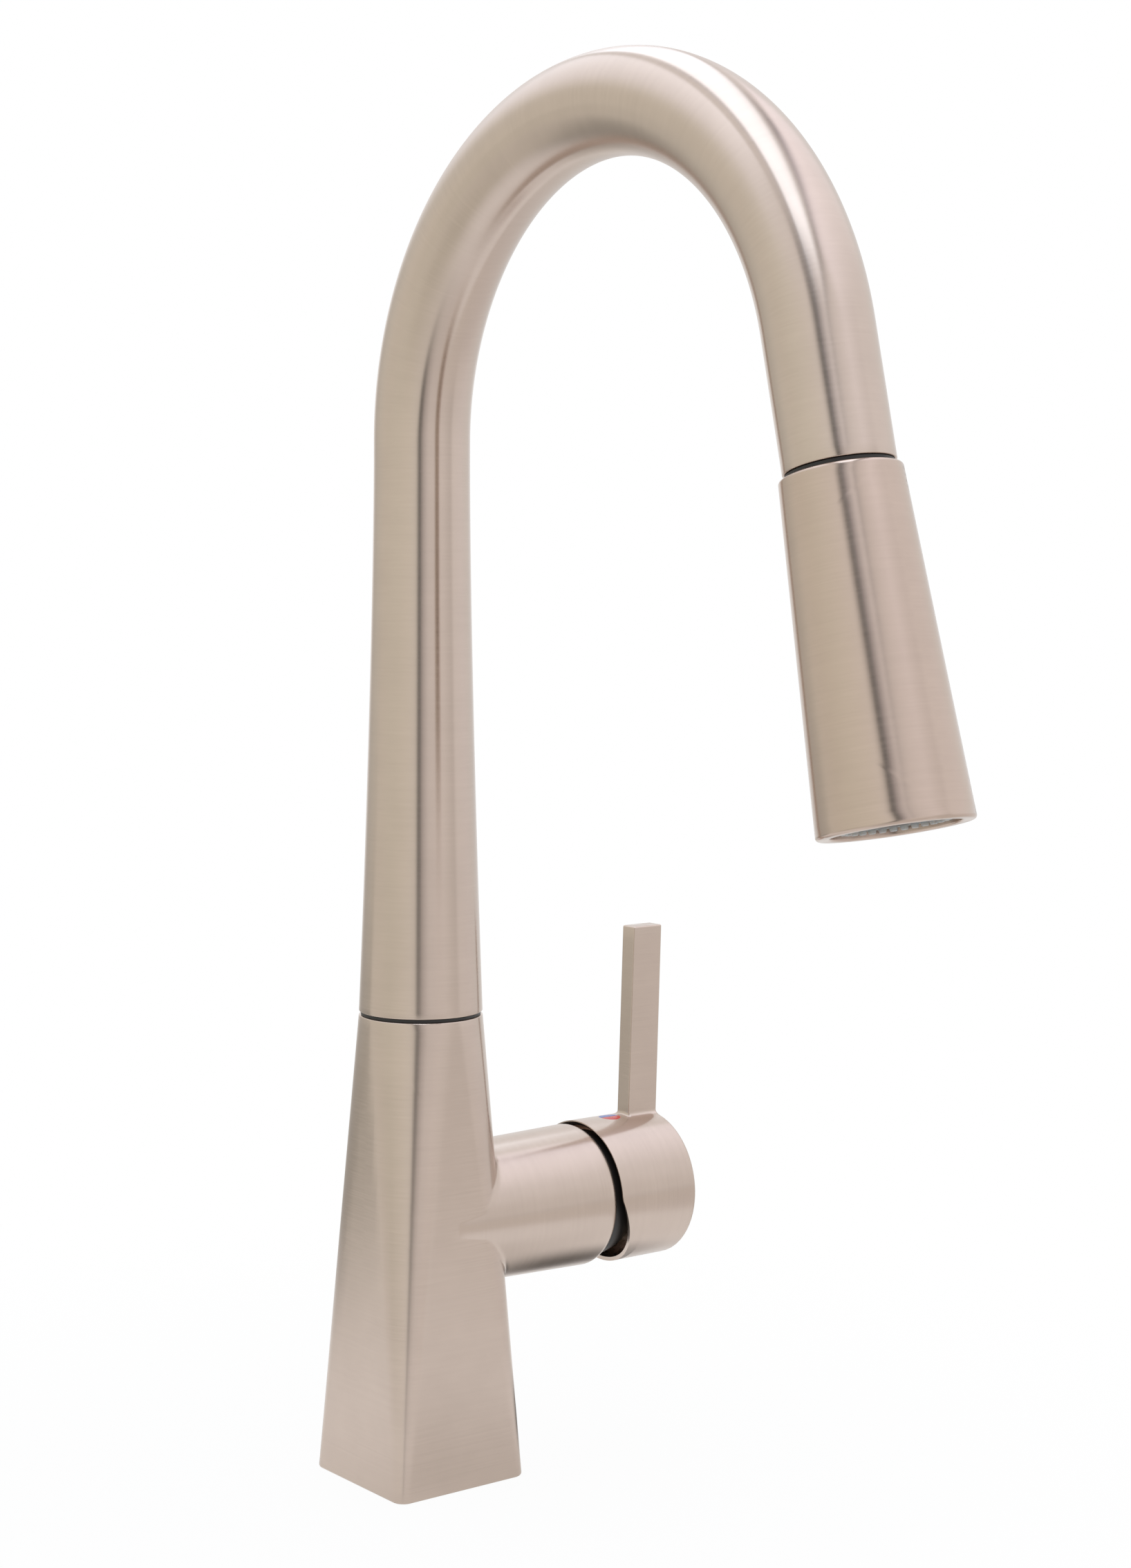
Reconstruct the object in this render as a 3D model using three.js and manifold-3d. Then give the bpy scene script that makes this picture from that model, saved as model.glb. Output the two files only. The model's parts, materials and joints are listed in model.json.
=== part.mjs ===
// Pull-down kitchen faucet: a gooseneck spout that swivels on a square-to-round body, a side lever
// that works a ceramic mixing cartridge, and a spray head that docks at the spout's end on a hose.
// Millimetres, +Z up. The origin is the middle of the foot on the deck, the spout reaches towards -Y
// and the lever stands on the +X side. Everything below Z = 0 is the fixing under the deck.
import * as THREE from 'three';
import { mergeVertices } from 'three/addons/utils/BufferGeometryUtils.js';
import Module from 'manifold-3d';

// ---- driving dimensions ------------------------------------------------------------------------

const CLEAR = 0.3; // between pieces that seat on or in each other

// Body: a square foot that rules up into a circle, with a round valve boss on its +X side.
const FOOT_HALF = 23.54;
const FOOT_CORNER = 4;
const FOOT_EDGE = 0.8;
const BODY_HEIGHT = 142.18;
const JOINT_RADIUS = 18.78;
const BODY_WALL = 3;
const GASKET_RECESS = 3;
const FOOT_WEB = 8;
const TOP_WEB = 12;

// Valve boss and the pocket for the cartridge. X is measured from the body's axis.
const VALVE_HEIGHT = 78.29;
const BOSS_ROOT_X = 24;
const BOSS_ROOT_RADIUS = 21.6;
const BOSS_RADIUS = 22.4;
const BOSS_X = 57.5;
const SHOULDER_RADIUS = 7.2;
const SHOULDER_TURN = 40;
const POCKET_X = 7.5;
const POCKET_WALL = 2.4;
const SEAT_X = 24;
const MOUTH_RADIUS = 19.2;
const PORT_RADIUS = 3;
const INLET_X = 14.5;
const INLET_Y = 7.5;
const OUTLET_X = 12.5;
const OUTLET_DROP = 8;

// Ceramic cartridge.
const CARTRIDGE_RADIUS = 17.4;
const CARTRIDGE_WALL = 2.2;
const CARTRIDGE_BASE = 2.7;
const CARTRIDGE_SHOULDER_X = 48;
const CARTRIDGE_NECK = 8.5;
const NECK_RADIUS = 13.8;
const SEAL_THICK = 1;
const DISC_THICK = 3;
const MOVING_DISC_RADIUS = 11.5;
const CARRIER_NECK_RADIUS = 7.5;
const PIVOT_X = 60.8;
const ROTOR_RADIUS = 13.6;
const ROTOR_RISE = 4;
const STEM_SIDE = 6.6;
const STEM_LENGTH = 20;
const STEM_DRIVE = 9.8;
const LEVER_TRAVEL_ANGLE = 20;
const BALL_RADIUS = 4;
const PIN_RADIUS = 1.5;
const PIN_LENGTH = 20;
const NUT_LENGTH = 9.7;
const BONNET_RADIUS = 20.3;
const BONNET_WALL = 1.7;
const BONNET_OPENING_ANGLE = 46;
const BONNET_SKIRT_ANGLE = 66;

// Lever handle: a hub that caps the boss, with a flat bar standing on it.
const HUB_RADIUS = 23.09;
const HUB_WALL = 1.5;
const HUB_X = 61.2;
const HUB_END_X = 91.2;
const HUB_EDGE = 1.2;
const HUB_LEAD_IN = 0.7;
const HUB_END_WALL = 5.5;
const RELIEF_START = 2;
const RELIEF_ANGLE = 20.8;
const SOCKET_RADIUS = 7.5;
const SOCKET_LENGTH = 14.5;
const LEVER_X = 85.15;
const LEVER_WIDTH = 11.4;
const LEVER_TOP_WIDTH = 11.3;
const LEVER_THICK = 6.1;
const LEVER_TOP = 162.55;
const LEVER_LEAN = 1.6;
const LEVER_FILLET = 1.5;
const LEVER_EDGE = 0.4;
const INDEX_X = 73.9;
const INDEX_RADIUS = 3.7;
const INDEX_DEPTH = 1.3;
const SCREW_RADIUS = 2.5;

// Spout.
const RING_HEIGHT = 1.1;
const RING_RECESS = 0.6;
const TUBE_RADIUS = 14.37;
const TUBE_WALL = 1.6;
const TAPER_TOP = 308.55;
const TAPER_POWER = 1.49;
const ARC_START = 314.75;
const RISE_RADIUS = 88.26;
const FALL_RADIUS = 85.85;
const TILT = 13.87;
const LEG_LENGTH = 35.8;

// Swivel joint inside the foot of the spout.
const SPIGOT_RADIUS = 14;
const SPIGOT_BORE = 10;
const SPIGOT_HEIGHT = 25;
const BUSH_RADIUS = 16.1;
const BUSH_LENGTH = 8;
const CLIP_THICK = 1.2;
const CLIP_DEPTH = 0.8;

// Spray hose and docking.
const HOSE_RADIUS = 6;
const DOCK_RING = 1.28;
const DOCK_DEPTH = 16;
const DOCK_BORE = 9.2;
const MAGNET_LENGTH = 5;
const MAGNET_BORE = 7.5;
const COLLAR_RADIUS = 8.7;
const NUT_DEPTH = 14;

// Spray head, measured down its own axis from the end of the spout.
const HEAD_TOP_RADIUS = 15.63;
const HEAD_RADIUS = 19.86;
const HEAD_LENGTH = 89.5;
const HEAD_WALL = 1.6;
const HEAD_EDGE = 0.9;
const HEAD_ROOF = 3.2;
const LIP_WIDTH = 3.5;
const FACE_RECESS = 1.8;
const FACE_THICK = 3.4;
const NUB_COUNT = 30;
const NUB_CIRCLE = 13.2;
const NUB_RADIUS = 1.1;
const NUB_HEIGHT = 1;
const NOZZLE_BAND = 2.8;
const AERATOR_RADIUS = 9.3;
const AERATOR_LENGTH = 9;
const WATERWAY_RADIUS = 4;
const BUTTON_DEPTH = 36;
const BUTTON_WIDTH = 11;
const BUTTON_LENGTH = 26;
const BUTTON_PROUD = 1.2;
const BUTTON_THICK = 4;
const BUTTON_TRAVEL = 1.5;
const SPOOL_RADIUS = 2.8;
const SPOOL_REACH = 5;

// Fixing under the deck.
const SHANK_RADIUS = 16.3;
const SHANK_WALL = 2.7;
const SHANK_DROP = 58;
const DECK_THICK = 30;
const WASHER_RADIUS = 28;
const RUBBER_THICK = 3;
const WASHER_THICK = 2;
const NUT_RADIUS = 27;
const NUT_THICK = 12;
const NUT_DROP = 3;
const JACK_COUNT = 3;
const JACK_CIRCLE = 22;
const JACK_RADIUS = 2.4;
const JACK_HEAD = 4;
const PIPE_RADIUS = 3.2;
const PIPE_BORE = 2.2;
const PIPE_CIRCLE = 10;
const PIPE_ANGLE = 48;
const PIPE_DROP = 70;
const NIPPLE_LENGTH = 14;
const NIPPLE_RADIUS = 3.9;

// Facets round a turned form: where it shows, and where it is hidden or small.
const ROUND = 32;
const COARSE = 18;
const SMALL = 12;
const SPOUT_SIDES = 24;

// ---- finishes ----------------------------------------------------------------------------------

function finish(color, metalness, roughness) {
  return new THREE.MeshStandardMaterial({ color, metalness, roughness });
}
const nickel = finish(0xb9ab9c, 1, 0.34);
const brass = finish(0xb08d4f, 1, 0.4);
const steel = finish(0xa9abad, 1, 0.35);
const blackPlastic = finish(0x1b1a19, 0, 0.5);
const greyPlastic = finish(0x77746f, 0, 0.5);
const whitePlastic = finish(0xe4e2da, 0, 0.45);
const rubber = finish(0x222222, 0, 0.8);
const ceramic = finish(0xf1efe8, 0, 0.2);
const silicone = finish(0xb4b2ac, 0, 0.6);
const magnetic = finish(0x4a4a4c, 0.6, 0.5);
const braid = finish(0x3b3b3d, 0, 0.6);
const red = finish(0xcf2f2c, 0, 0.35);
const blue = finish(0x4a63b0, 0, 0.35);

// ---- making solids -----------------------------------------------------------------------------

const wasm = await Module();
wasm.setup();

const radians = (degrees) => THREE.MathUtils.degToRad(degrees);

// Volume by the divergence theorem: a sum of signed tetrahedra, positive when faces point out.
function signedVolume(geometry) {
  const place = geometry.attributes.position;
  const index = geometry.index;
  const [a, b, c] = [new THREE.Vector3(), new THREE.Vector3(), new THREE.Vector3()];
  let sum = 0;
  for (let i = 0; i < index.count; i += 3) {
    a.fromBufferAttribute(place, index.getX(i));
    b.fromBufferAttribute(place, index.getX(i + 1));
    c.fromBufferAttribute(place, index.getX(i + 2));
    sum += a.dot(b.cross(c));
  }
  return sum / 6;
}

// Shared vertices merged, slivers dropped and every face turned outwards.
function closed(geometry) {
  const bare = geometry.index ? geometry.toNonIndexed() : geometry.clone();
  bare.deleteAttribute('normal');
  bare.deleteAttribute('uv');
  const merged = mergeVertices(bare, 1e-4);
  const faces = [];
  const corners = merged.index.array;
  for (let i = 0; i < corners.length; i += 3) {
    const [a, b, c] = [corners[i], corners[i + 1], corners[i + 2]];
    if (a !== b && b !== c && c !== a) faces.push(a, b, c);
  }
  merged.setIndex(faces);
  if (signedVolume(merged) < 0) merged.setIndex(faces.reverse());
  merged.computeVertexNormals();
  return merged;
}

function toSolid(geometry) {
  const mesh = closed(geometry);
  return new wasm.Manifold(new wasm.Mesh({
    numProp: 3,
    vertProperties: new Float32Array(mesh.attributes.position.array),
    triVerts: new Uint32Array(mesh.index.array),
  }));
}

function toGeometry(solid) {
  const mesh = solid.getMesh();
  const geometry = new THREE.BufferGeometry();
  geometry.setAttribute('position', new THREE.BufferAttribute(mesh.vertProperties, 3));
  geometry.setIndex(new THREE.BufferAttribute(mesh.triVerts, 1));
  geometry.computeVertexNormals();
  return geometry;
}

// The first geometry with the others cut away.
function cut(geometry, ...cutters) {
  let solid = toSolid(geometry);
  for (const cutter of cutters) solid = solid.subtract(toSolid(cutter));
  return toGeometry(solid);
}

function join(...geometries) {
  return toGeometry(geometries.map(toSolid).reduce((sum, next) => sum.add(next)));
}

// A turned solid from [radius, height] points. A profile that is off the axis closes on itself.
function turned(profile, sides = COARSE) {
  const points = profile.map(([radius, height]) => new THREE.Vector2(radius, height));
  if (profile[0][0] > 0) points.push(points[0].clone());
  return new THREE.LatheGeometry(points, sides);
}
const turnedZ = (profile, sides) => closed(turned(profile, sides).rotateX(Math.PI / 2));
const turnedX = (profile, sides) => closed(turned(profile, sides).rotateZ(-Math.PI / 2));

// A plain ring or tube between two heights.
function sleeve(inner, outer, low, high) {
  return [[inner, low], [outer, low], [outer, high], [inner, high]];
}

function disc(radius, low, high) {
  return [[0, low], [radius, low], [radius, high], [0, high]];
}

// Points of an arc in a profile: centre, radius, and angles in degrees from the height axis.
function arc(radialCentre, heightCentre, radius, from, to, steps) {
  return Array.from({ length: steps + 1 }, (_, i) => {
    const angle = radians(from + ((to - from) * i) / steps);
    return [radialCentre + radius * Math.sin(angle), heightCentre + radius * Math.cos(angle)];
  });
}

function box(x0, x1, y0, y1, z0, z1) {
  return new THREE.BoxGeometry(x1 - x0, y1 - y0, z1 - z0)
    .translate((x0 + x1) / 2, (y0 + y1) / 2, (z0 + z1) / 2);
}

// A round bar along one axis, from one coordinate to another, through the point at.
function bar(axis, radius, from, to, at = [0, 0, 0], sides = SMALL) {
  const geometry = new THREE.CylinderGeometry(radius, radius, to - from, sides);
  if (axis === 'x') geometry.rotateZ(-Math.PI / 2);
  if (axis === 'z') geometry.rotateX(Math.PI / 2);
  const middle = (from + to) / 2;
  const place = { x: [middle, at[1], at[2]], y: [at[0], middle, at[2]], z: [at[0], at[1], middle] };
  return geometry.translate(...place[axis]);
}

// Copies of a geometry turned about Z.
function around(geometry, count, start = 0) {
  return Array.from({ length: count }, (_, i) =>
    geometry.clone().rotateZ(start + (2 * Math.PI * i) / count));
}

// Rings of points skinned into one solid, with a fan over the first and the last.
function skin(rings) {
  const sides = rings[0].length;
  const points = rings.flat();
  const middle = (ring) => ring.reduce((sum, p) => sum.add(p), new THREE.Vector3())
    .divideScalar(sides);
  const first = points.push(middle(rings[0])) - 1;
  const last = points.push(middle(rings[rings.length - 1])) - 1;
  const faces = [];
  for (let side = 0; side < sides; side += 1) {
    const next = (side + 1) % sides;
    for (let ring = 0; ring < rings.length - 1; ring += 1) {
      const low = ring * sides;
      const high = low + sides;
      faces.push(low + side, low + next, high + next, low + side, high + next, high + side);
    }
    const top = (rings.length - 1) * sides;
    faces.push(first, next, side, last, top + side, top + next);
  }
  const geometry = new THREE.BufferGeometry().setFromPoints(points);
  geometry.setIndex(faces);
  return closed(geometry);
}

// A tube skinned between outer and inner rings, open at both ends.
function pipe(outer, inner) {
  const sides = outer[0].length;
  const loop = [...outer, ...[...inner].reverse()];
  const faces = [];
  for (let ring = 0; ring < loop.length; ring += 1) {
    const here = ring * sides;
    const there = ((ring + 1) % loop.length) * sides;
    for (let side = 0; side < sides; side += 1) {
      const next = (side + 1) % sides;
      faces.push(here + side, here + next, there + next, here + side, there + next, there + side);
    }
  }
  const geometry = new THREE.BufferGeometry().setFromPoints(loop.flat());
  geometry.setIndex(faces);
  return closed(geometry);
}

// ---- the assembly ------------------------------------------------------------------------------

const faucet = new THREE.Group();
const valve = new THREE.Group();
const outlet = new THREE.Group();
faucet.add(valve, outlet);

function add(parent, name, geometry, material) {
  const mesh = new THREE.Mesh(geometry, material);
  mesh.name = name;
  parent.add(mesh);
  return mesh;
}

// ---- body --------------------------------------------------------------------------------------

// The body's section at a height: a rounded square whose half width and corner radius both change
// evenly, so its flats taper to a point and its corners are parts of cones.
const CORNER_STEPS = 6;
const bodyHalf = (z) => THREE.MathUtils.mapLinear(z, 0, BODY_HEIGHT, FOOT_HALF, JOINT_RADIUS);
const bodyCorner = (z) => THREE.MathUtils.mapLinear(z, 0, BODY_HEIGHT, FOOT_CORNER, JOINT_RADIUS);

function roundedSquare(half, corner, z) {
  const points = [];
  for (let quarter = 0; quarter < 4; quarter += 1) {
    const middle = radians(45 + 90 * quarter);
    const reach = Math.SQRT2 * (half - corner);
    for (let step = 0; step <= CORNER_STEPS; step += 1) {
      const angle = middle + radians(-45 + (90 * step) / CORNER_STEPS);
      points.push(new THREE.Vector3(
        reach * Math.cos(middle) + corner * Math.cos(angle),
        reach * Math.sin(middle) + corner * Math.sin(angle),
        z,
      ));
    }
  }
  return points;
}
const bodySection = (z, inset) => roundedSquare(bodyHalf(z) - inset, bodyCorner(z) - inset, z);

const BODY_FLOOR = GASKET_RECESS + FOOT_WEB;
const BODY_CEILING = BODY_HEIGHT - TOP_WEB;
const VALVE_BORE = CARTRIDGE_RADIUS + CLEAR;
const SHANK_BORE = SHANK_RADIUS - SHANK_WALL;
const SPIGOT_THREAD = SPIGOT_RADIUS - 1;
const PORT_APPROACH = VALVE_HEIGHT - VALVE_BORE - 2 * POCKET_WALL - 2;
const CUT = 1; // how far a cutter runs past the face it opens

// The boss swells a little towards its rounded shoulder, whose end face the bonnet seats on.
const SHOULDER_END_X = BOSS_X + SHOULDER_RADIUS * Math.sin(radians(SHOULDER_TURN));
const bossProfile = [
  [0, POCKET_X],
  [VALVE_BORE + POCKET_WALL, POCKET_X],
  [VALVE_BORE + POCKET_WALL, (POCKET_X + BOSS_ROOT_X) / 2],
  [BOSS_ROOT_RADIUS, BOSS_ROOT_X],
  ...arc(BOSS_RADIUS - SHOULDER_RADIUS, BOSS_X, SHOULDER_RADIUS, 90, 90 - SHOULDER_TURN, 4),
  [0, SHOULDER_END_X],
];
const liftToValve = (geometry) => geometry.translate(0, 0, VALVE_HEIGHT);

function bodyCasting() {
  const outside = skin([
    roundedSquare(FOOT_HALF - FOOT_EDGE, FOOT_CORNER - FOOT_EDGE, 0),
    bodySection(FOOT_EDGE, 0),
    bodySection(BODY_HEIGHT, 0),
  ]);
  const boss = liftToValve(turnedX(bossProfile, ROUND));
  const hollow = skin([bodySection(BODY_FLOOR, BODY_WALL), bodySection(BODY_CEILING, BODY_WALL)]);
  const pocketWall = liftToValve(bar('x', VALVE_BORE + POCKET_WALL, POCKET_X, BOSS_X, [0, 0, 0], ROUND));
  const recess = skin([
    roundedSquare(FOOT_HALF - BODY_WALL, 2 * FOOT_EDGE, -CUT),
    roundedSquare(FOOT_HALF - BODY_WALL, 2 * FOOT_EDGE, GASKET_RECESS),
  ]);
  const pocket = liftToValve(turnedX([
    ...disc(VALVE_BORE, SEAT_X, CARTRIDGE_SHOULDER_X).slice(0, 3),
    [MOUTH_RADIUS, CARTRIDGE_SHOULDER_X],
    [MOUTH_RADIUS, SHOULDER_END_X + CUT],
    [0, SHOULDER_END_X + CUT],
  ], COARSE));
  const pipeHole = PIPE_RADIUS + CLEAR;
  const below = VALVE_HEIGHT - VALVE_BORE - 2 * POCKET_WALL;
  const inlets = [1, -1].flatMap((side) => [
    bar('z', pipeHole, below, VALVE_HEIGHT, [INLET_X, side * INLET_Y, 0], SMALL),
    bar('x', PORT_RADIUS, INLET_X, SEAT_X + CUT, [0, side * INLET_Y, VALVE_HEIGHT], SMALL),
  ]);
  const drop = VALVE_HEIGHT - OUTLET_DROP;
  return cut(
    join(outside, boss),
    cut(hollow, pocketWall),
    recess,
    bar('z', SHANK_RADIUS + CLEAR, -CUT, BODY_FLOOR + CUT, [0, 0, 0], COARSE),
    bar('z', SPIGOT_THREAD + CLEAR, BODY_CEILING - CUT, BODY_HEIGHT + CUT, [0, 0, 0], COARSE),
    pocket,
    ...inlets,
    bar('z', pipeHole, below, drop, [OUTLET_X, 0, 0], SMALL),
    bar('x', PORT_RADIUS, OUTLET_X, SEAT_X + CUT, [0, 0, drop], SMALL),
  );
}
add(faucet, 'faucet_body', bodyCasting(), nickel);

// ---- ceramic cartridge, along the valve's axis ---------------------------------------------------

valve.position.set(0, 0, VALVE_HEIGHT);

const baseX = SEAT_X + CLEAR;
const fixedX = baseX + CARTRIDGE_BASE + CLEAR;
const movingX = fixedX + DISC_THICK + CLEAR;
const carrierX = movingX + DISC_THICK + CLEAR;
const neckX = CARTRIDGE_SHOULDER_X + CARTRIDGE_NECK;
const housingBore = CARTRIDGE_RADIUS - CARTRIDGE_WALL;
const neckBore = NECK_RADIUS - CARTRIDGE_WALL;
const carrierTop = PIVOT_X - STEM_DRIVE + BALL_RADIUS - 1;

// Two inlet ports and the outlet port, as cutters through a plate.
function ports(from, to, radius) {
  return [
    bar('x', radius, from - CUT, to + CUT, [0, INLET_Y, 0], SMALL),
    bar('x', radius, from - CUT, to + CUT, [0, -INLET_Y, 0], SMALL),
    bar('x', radius, from - CUT, to + CUT, [0, 0, -OUTLET_DROP], SMALL),
  ];
}

const sealRadius = housingBore - CLEAR;
add(valve, 'cartridge_seal', cut(
  turnedX(disc(sealRadius, SEAT_X + CLEAR / 2, SEAT_X + CLEAR / 2 + SEAL_THICK)),
  ...ports(SEAT_X, SEAT_X + SEAL_THICK, PORT_RADIUS),
), rubber);
add(valve, 'cartridge_base', cut(
  turnedX(disc(CARTRIDGE_RADIUS, baseX, baseX + CARTRIDGE_BASE)),
  turnedX(disc(sealRadius + CLEAR, baseX - CUT, SEAT_X + SEAL_THICK + 1.5 * CLEAR)),
  ...ports(baseX, baseX + CARTRIDGE_BASE, PORT_RADIUS),
), whitePlastic);
add(valve, 'fixed_ceramic_disc', cut(
  turnedX(disc(housingBore - CLEAR, fixedX, fixedX + DISC_THICK)),
  ...ports(fixedX, fixedX + DISC_THICK, PORT_RADIUS),
), ceramic);
add(valve, 'moving_ceramic_disc', cut(
  turnedX(disc(MOVING_DISC_RADIUS, movingX, movingX + DISC_THICK)),
  turnedX(disc(MOVING_DISC_RADIUS / 2, movingX - CUT, movingX + DISC_THICK / 2)),
), ceramic);
add(valve, 'disc_carrier', cut(
  turnedX([
    [0, carrierX],
    [MOVING_DISC_RADIUS, carrierX],
    [MOVING_DISC_RADIUS, carrierX + DISC_THICK],
    [CARRIER_NECK_RADIUS, carrierX + DISC_THICK],
    [CARRIER_NECK_RADIUS, carrierTop],
    [0, carrierTop],
  ]),
  turnedX(disc(BALL_RADIUS + CLEAR, carrierTop - 2 * BALL_RADIUS - CLEAR, carrierTop + CUT)),
), whitePlastic);
add(valve, 'cartridge_housing', turnedX([
  [housingBore, fixedX],
  [CARTRIDGE_RADIUS, fixedX],
  [CARTRIDGE_RADIUS, CARTRIDGE_SHOULDER_X],
  [NECK_RADIUS, CARTRIDGE_SHOULDER_X],
  [NECK_RADIUS, neckX],
  [neckBore, neckX],
  [neckBore, CARTRIDGE_SHOULDER_X - CARTRIDGE_WALL],
  [housingBore, CARTRIDGE_SHOULDER_X - CARTRIDGE_WALL],
]), whitePlastic);

// The rotor turns in the neck and carries the pin that the stem tilts on.
const slotHalf = STEM_SIDE / 2 + CLEAR;
const slotReach = BALL_RADIUS + STEM_DRIVE * Math.sin(radians(LEVER_TRAVEL_ANGLE));
add(valve, 'cartridge_rotor', cut(
  turnedX([
    [0, carrierTop + CLEAR],
    [neckBore - CLEAR, carrierTop + CLEAR],
    [neckBore - CLEAR, neckX + CLEAR],
    [ROTOR_RADIUS, neckX + CLEAR],
    [ROTOR_RADIUS, PIVOT_X + ROTOR_RISE],
    [0, PIVOT_X + ROTOR_RISE],
  ]),
  box(carrierTop - CUT, PIVOT_X + ROTOR_RISE + CUT, -slotHalf, slotHalf, -slotReach, slotReach),
  bar('y', PIN_RADIUS + CLEAR, -ROTOR_RADIUS - CUT, ROTOR_RADIUS + CUT, [PIVOT_X, 0, 0], SMALL),
), greyPlastic);
add(valve, 'stem_pin', bar('y', PIN_RADIUS, -PIN_LENGTH / 2, PIN_LENGTH / 2, [PIVOT_X, 0, 0], SMALL), steel);

const stemHalf = STEM_SIDE / 2;
add(valve, 'cartridge_stem', cut(
  join(
    box(PIVOT_X - stemHalf, PIVOT_X + STEM_LENGTH, -stemHalf, stemHalf, -stemHalf, stemHalf),
    bar('x', BALL_RADIUS * 0.65, PIVOT_X - STEM_DRIVE, PIVOT_X, [0, 0, 0], SMALL),
    new THREE.SphereGeometry(BALL_RADIUS, SMALL, 8).translate(PIVOT_X - STEM_DRIVE, 0, 0),
  ),
  bar('y', PIN_RADIUS + CLEAR, -STEM_SIDE, STEM_SIDE, [PIVOT_X, 0, 0], SMALL),
), brass);

const nutX = CARTRIDGE_SHOULDER_X + CLEAR;
const nutEnd = nutX + NUT_LENGTH;
add(valve, 'cartridge_nut', cut(
  turnedX(sleeve(NECK_RADIUS + CLEAR, MOUTH_RADIUS - CLEAR, nutX, nutEnd)),
  ...[0, 1].map((turn) => box(nutEnd - 2.5, nutEnd + CUT, -2, 2, -MOUTH_RADIUS, MOUTH_RADIUS)
    .rotateX((turn * Math.PI) / 2)),
), brass);

// A black dome shields the cartridge. It is centred on the pivot, so the hub swings round it.
const bonnetSeat = SHOULDER_END_X + CLEAR;
const bonnetInner = BONNET_RADIUS - BONNET_WALL;
const bonnetFoot = 90 - THREE.MathUtils.radToDeg(Math.asin((bonnetSeat - PIVOT_X) / BONNET_RADIUS));
add(valve, 'cartridge_bonnet', turnedX([
  [MOUTH_RADIUS - CLEAR - BONNET_WALL, nutEnd + CLEAR],
  [MOUTH_RADIUS - CLEAR, nutEnd + CLEAR],
  [MOUTH_RADIUS - CLEAR, bonnetSeat],
  ...arc(0, PIVOT_X, BONNET_RADIUS, bonnetFoot, BONNET_OPENING_ANGLE, 3),
  ...arc(0, PIVOT_X, bonnetInner, BONNET_OPENING_ANGLE, BONNET_SKIRT_ANGLE, 2),
]), blackPlastic);

// ---- lever handle --------------------------------------------------------------------------------

// The hub's open end is square above and cut back below, where it swings in as the lever tips out.
function hub() {
  const outer = turnedX([
    [0, HUB_X],
    [HUB_RADIUS, HUB_X],
    ...arc(HUB_RADIUS - HUB_EDGE, HUB_END_X - HUB_EDGE, HUB_EDGE, 90, 0, 3),
    [0, HUB_END_X],
  ], ROUND);
  const inside = HUB_END_X - HUB_END_WALL;
  const bore = HUB_RADIUS - HUB_WALL;
  const cavity = cut(
    turnedX([
      [0, HUB_X - CUT],
      [bore + HUB_LEAD_IN + CUT, HUB_X - CUT],
      [bore, HUB_X + HUB_LEAD_IN],
      [bore, inside],
      [0, inside],
    ], ROUND),
    turnedX(disc(SOCKET_RADIUS, inside - SOCKET_LENGTH, inside + CUT), COARSE),
  );
  const relief = box(-HUB_X, 0, -2 * HUB_RADIUS, 2 * HUB_RADIUS, -HUB_X, 0)
    .rotateY(-radians(RELIEF_ANGLE)).translate(HUB_X, 0, RELIEF_START);
  const squareHole = STEM_SIDE / 2 + CLEAR;
  const socketFloor = PIVOT_X + STEM_LENGTH + CLEAR;
  return {
    solid: join(outer, leverBar()),
    cutters: [
      cavity,
      relief,
      box(inside - SOCKET_LENGTH - CUT, socketFloor, -squareHole, squareHole, -squareHole, squareHole),
      bar('z', INDEX_RADIUS + CLEAR, HUB_RADIUS - INDEX_DEPTH, HUB_RADIUS + CUT, [INDEX_X, 0, 0], COARSE),
      bar('z', SCREW_RADIUS + CLEAR, -HUB_RADIUS - CUT, -squareHole + CUT, [screwX, 0, 0], SMALL),
    ],
  };
}
const screwX = HUB_END_X - HUB_END_WALL - SOCKET_LENGTH / 2;

// The lever bar is cut from flat stock: an outline in X and Z with filleted roots, as thick as the
// bar in Y. Heights are from the valve's axis.
function leverBar() {
  const root = HUB_RADIUS - 3;
  const top = LEVER_TOP - VALVE_HEIGHT;
  const lean = Math.tan(radians(LEVER_LEAN));
  const middle = (z) => LEVER_X + (z - HUB_RADIUS) * lean;
  const half = (z) => THREE.MathUtils.mapLinear(z, HUB_RADIUS, top, LEVER_WIDTH, LEVER_TOP_WIDTH) / 2;
  const edge = (z, side) => middle(z) + side * half(z);
  const flareTop = HUB_RADIUS + LEVER_FILLET;
  const outer = Math.min(edge(HUB_RADIUS, 1), HUB_END_X);
  const shape = new THREE.Shape();
  shape.moveTo(edge(HUB_RADIUS, -1) - LEVER_FILLET, root);
  shape.lineTo(edge(HUB_RADIUS, -1) - LEVER_FILLET, HUB_RADIUS);
  shape.quadraticCurveTo(edge(HUB_RADIUS, -1), HUB_RADIUS, edge(flareTop, -1), flareTop);
  shape.lineTo(edge(top, -1), top - LEVER_EDGE);
  shape.lineTo(edge(top, -1) + LEVER_EDGE, top);
  shape.lineTo(edge(top, 1) - LEVER_EDGE, top);
  shape.lineTo(edge(top, 1), top - LEVER_EDGE);
  shape.lineTo(outer, HUB_RADIUS);
  shape.lineTo(outer, root);
  shape.closePath();
  const plate = new THREE.ExtrudeGeometry(shape, {
    depth: LEVER_THICK - 2 * LEVER_EDGE,
    bevelEnabled: true,
    bevelThickness: LEVER_EDGE,
    bevelSize: LEVER_EDGE,
    bevelOffset: -LEVER_EDGE,
    bevelSegments: 1,
    curveSegments: 3,
  });
  return plate.rotateX(Math.PI / 2).translate(0, LEVER_THICK / 2 - LEVER_EDGE, 0);
}
const handle = hub();
add(valve, 'lever_handle', cut(handle.solid, ...handle.cutters), nickel);
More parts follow.
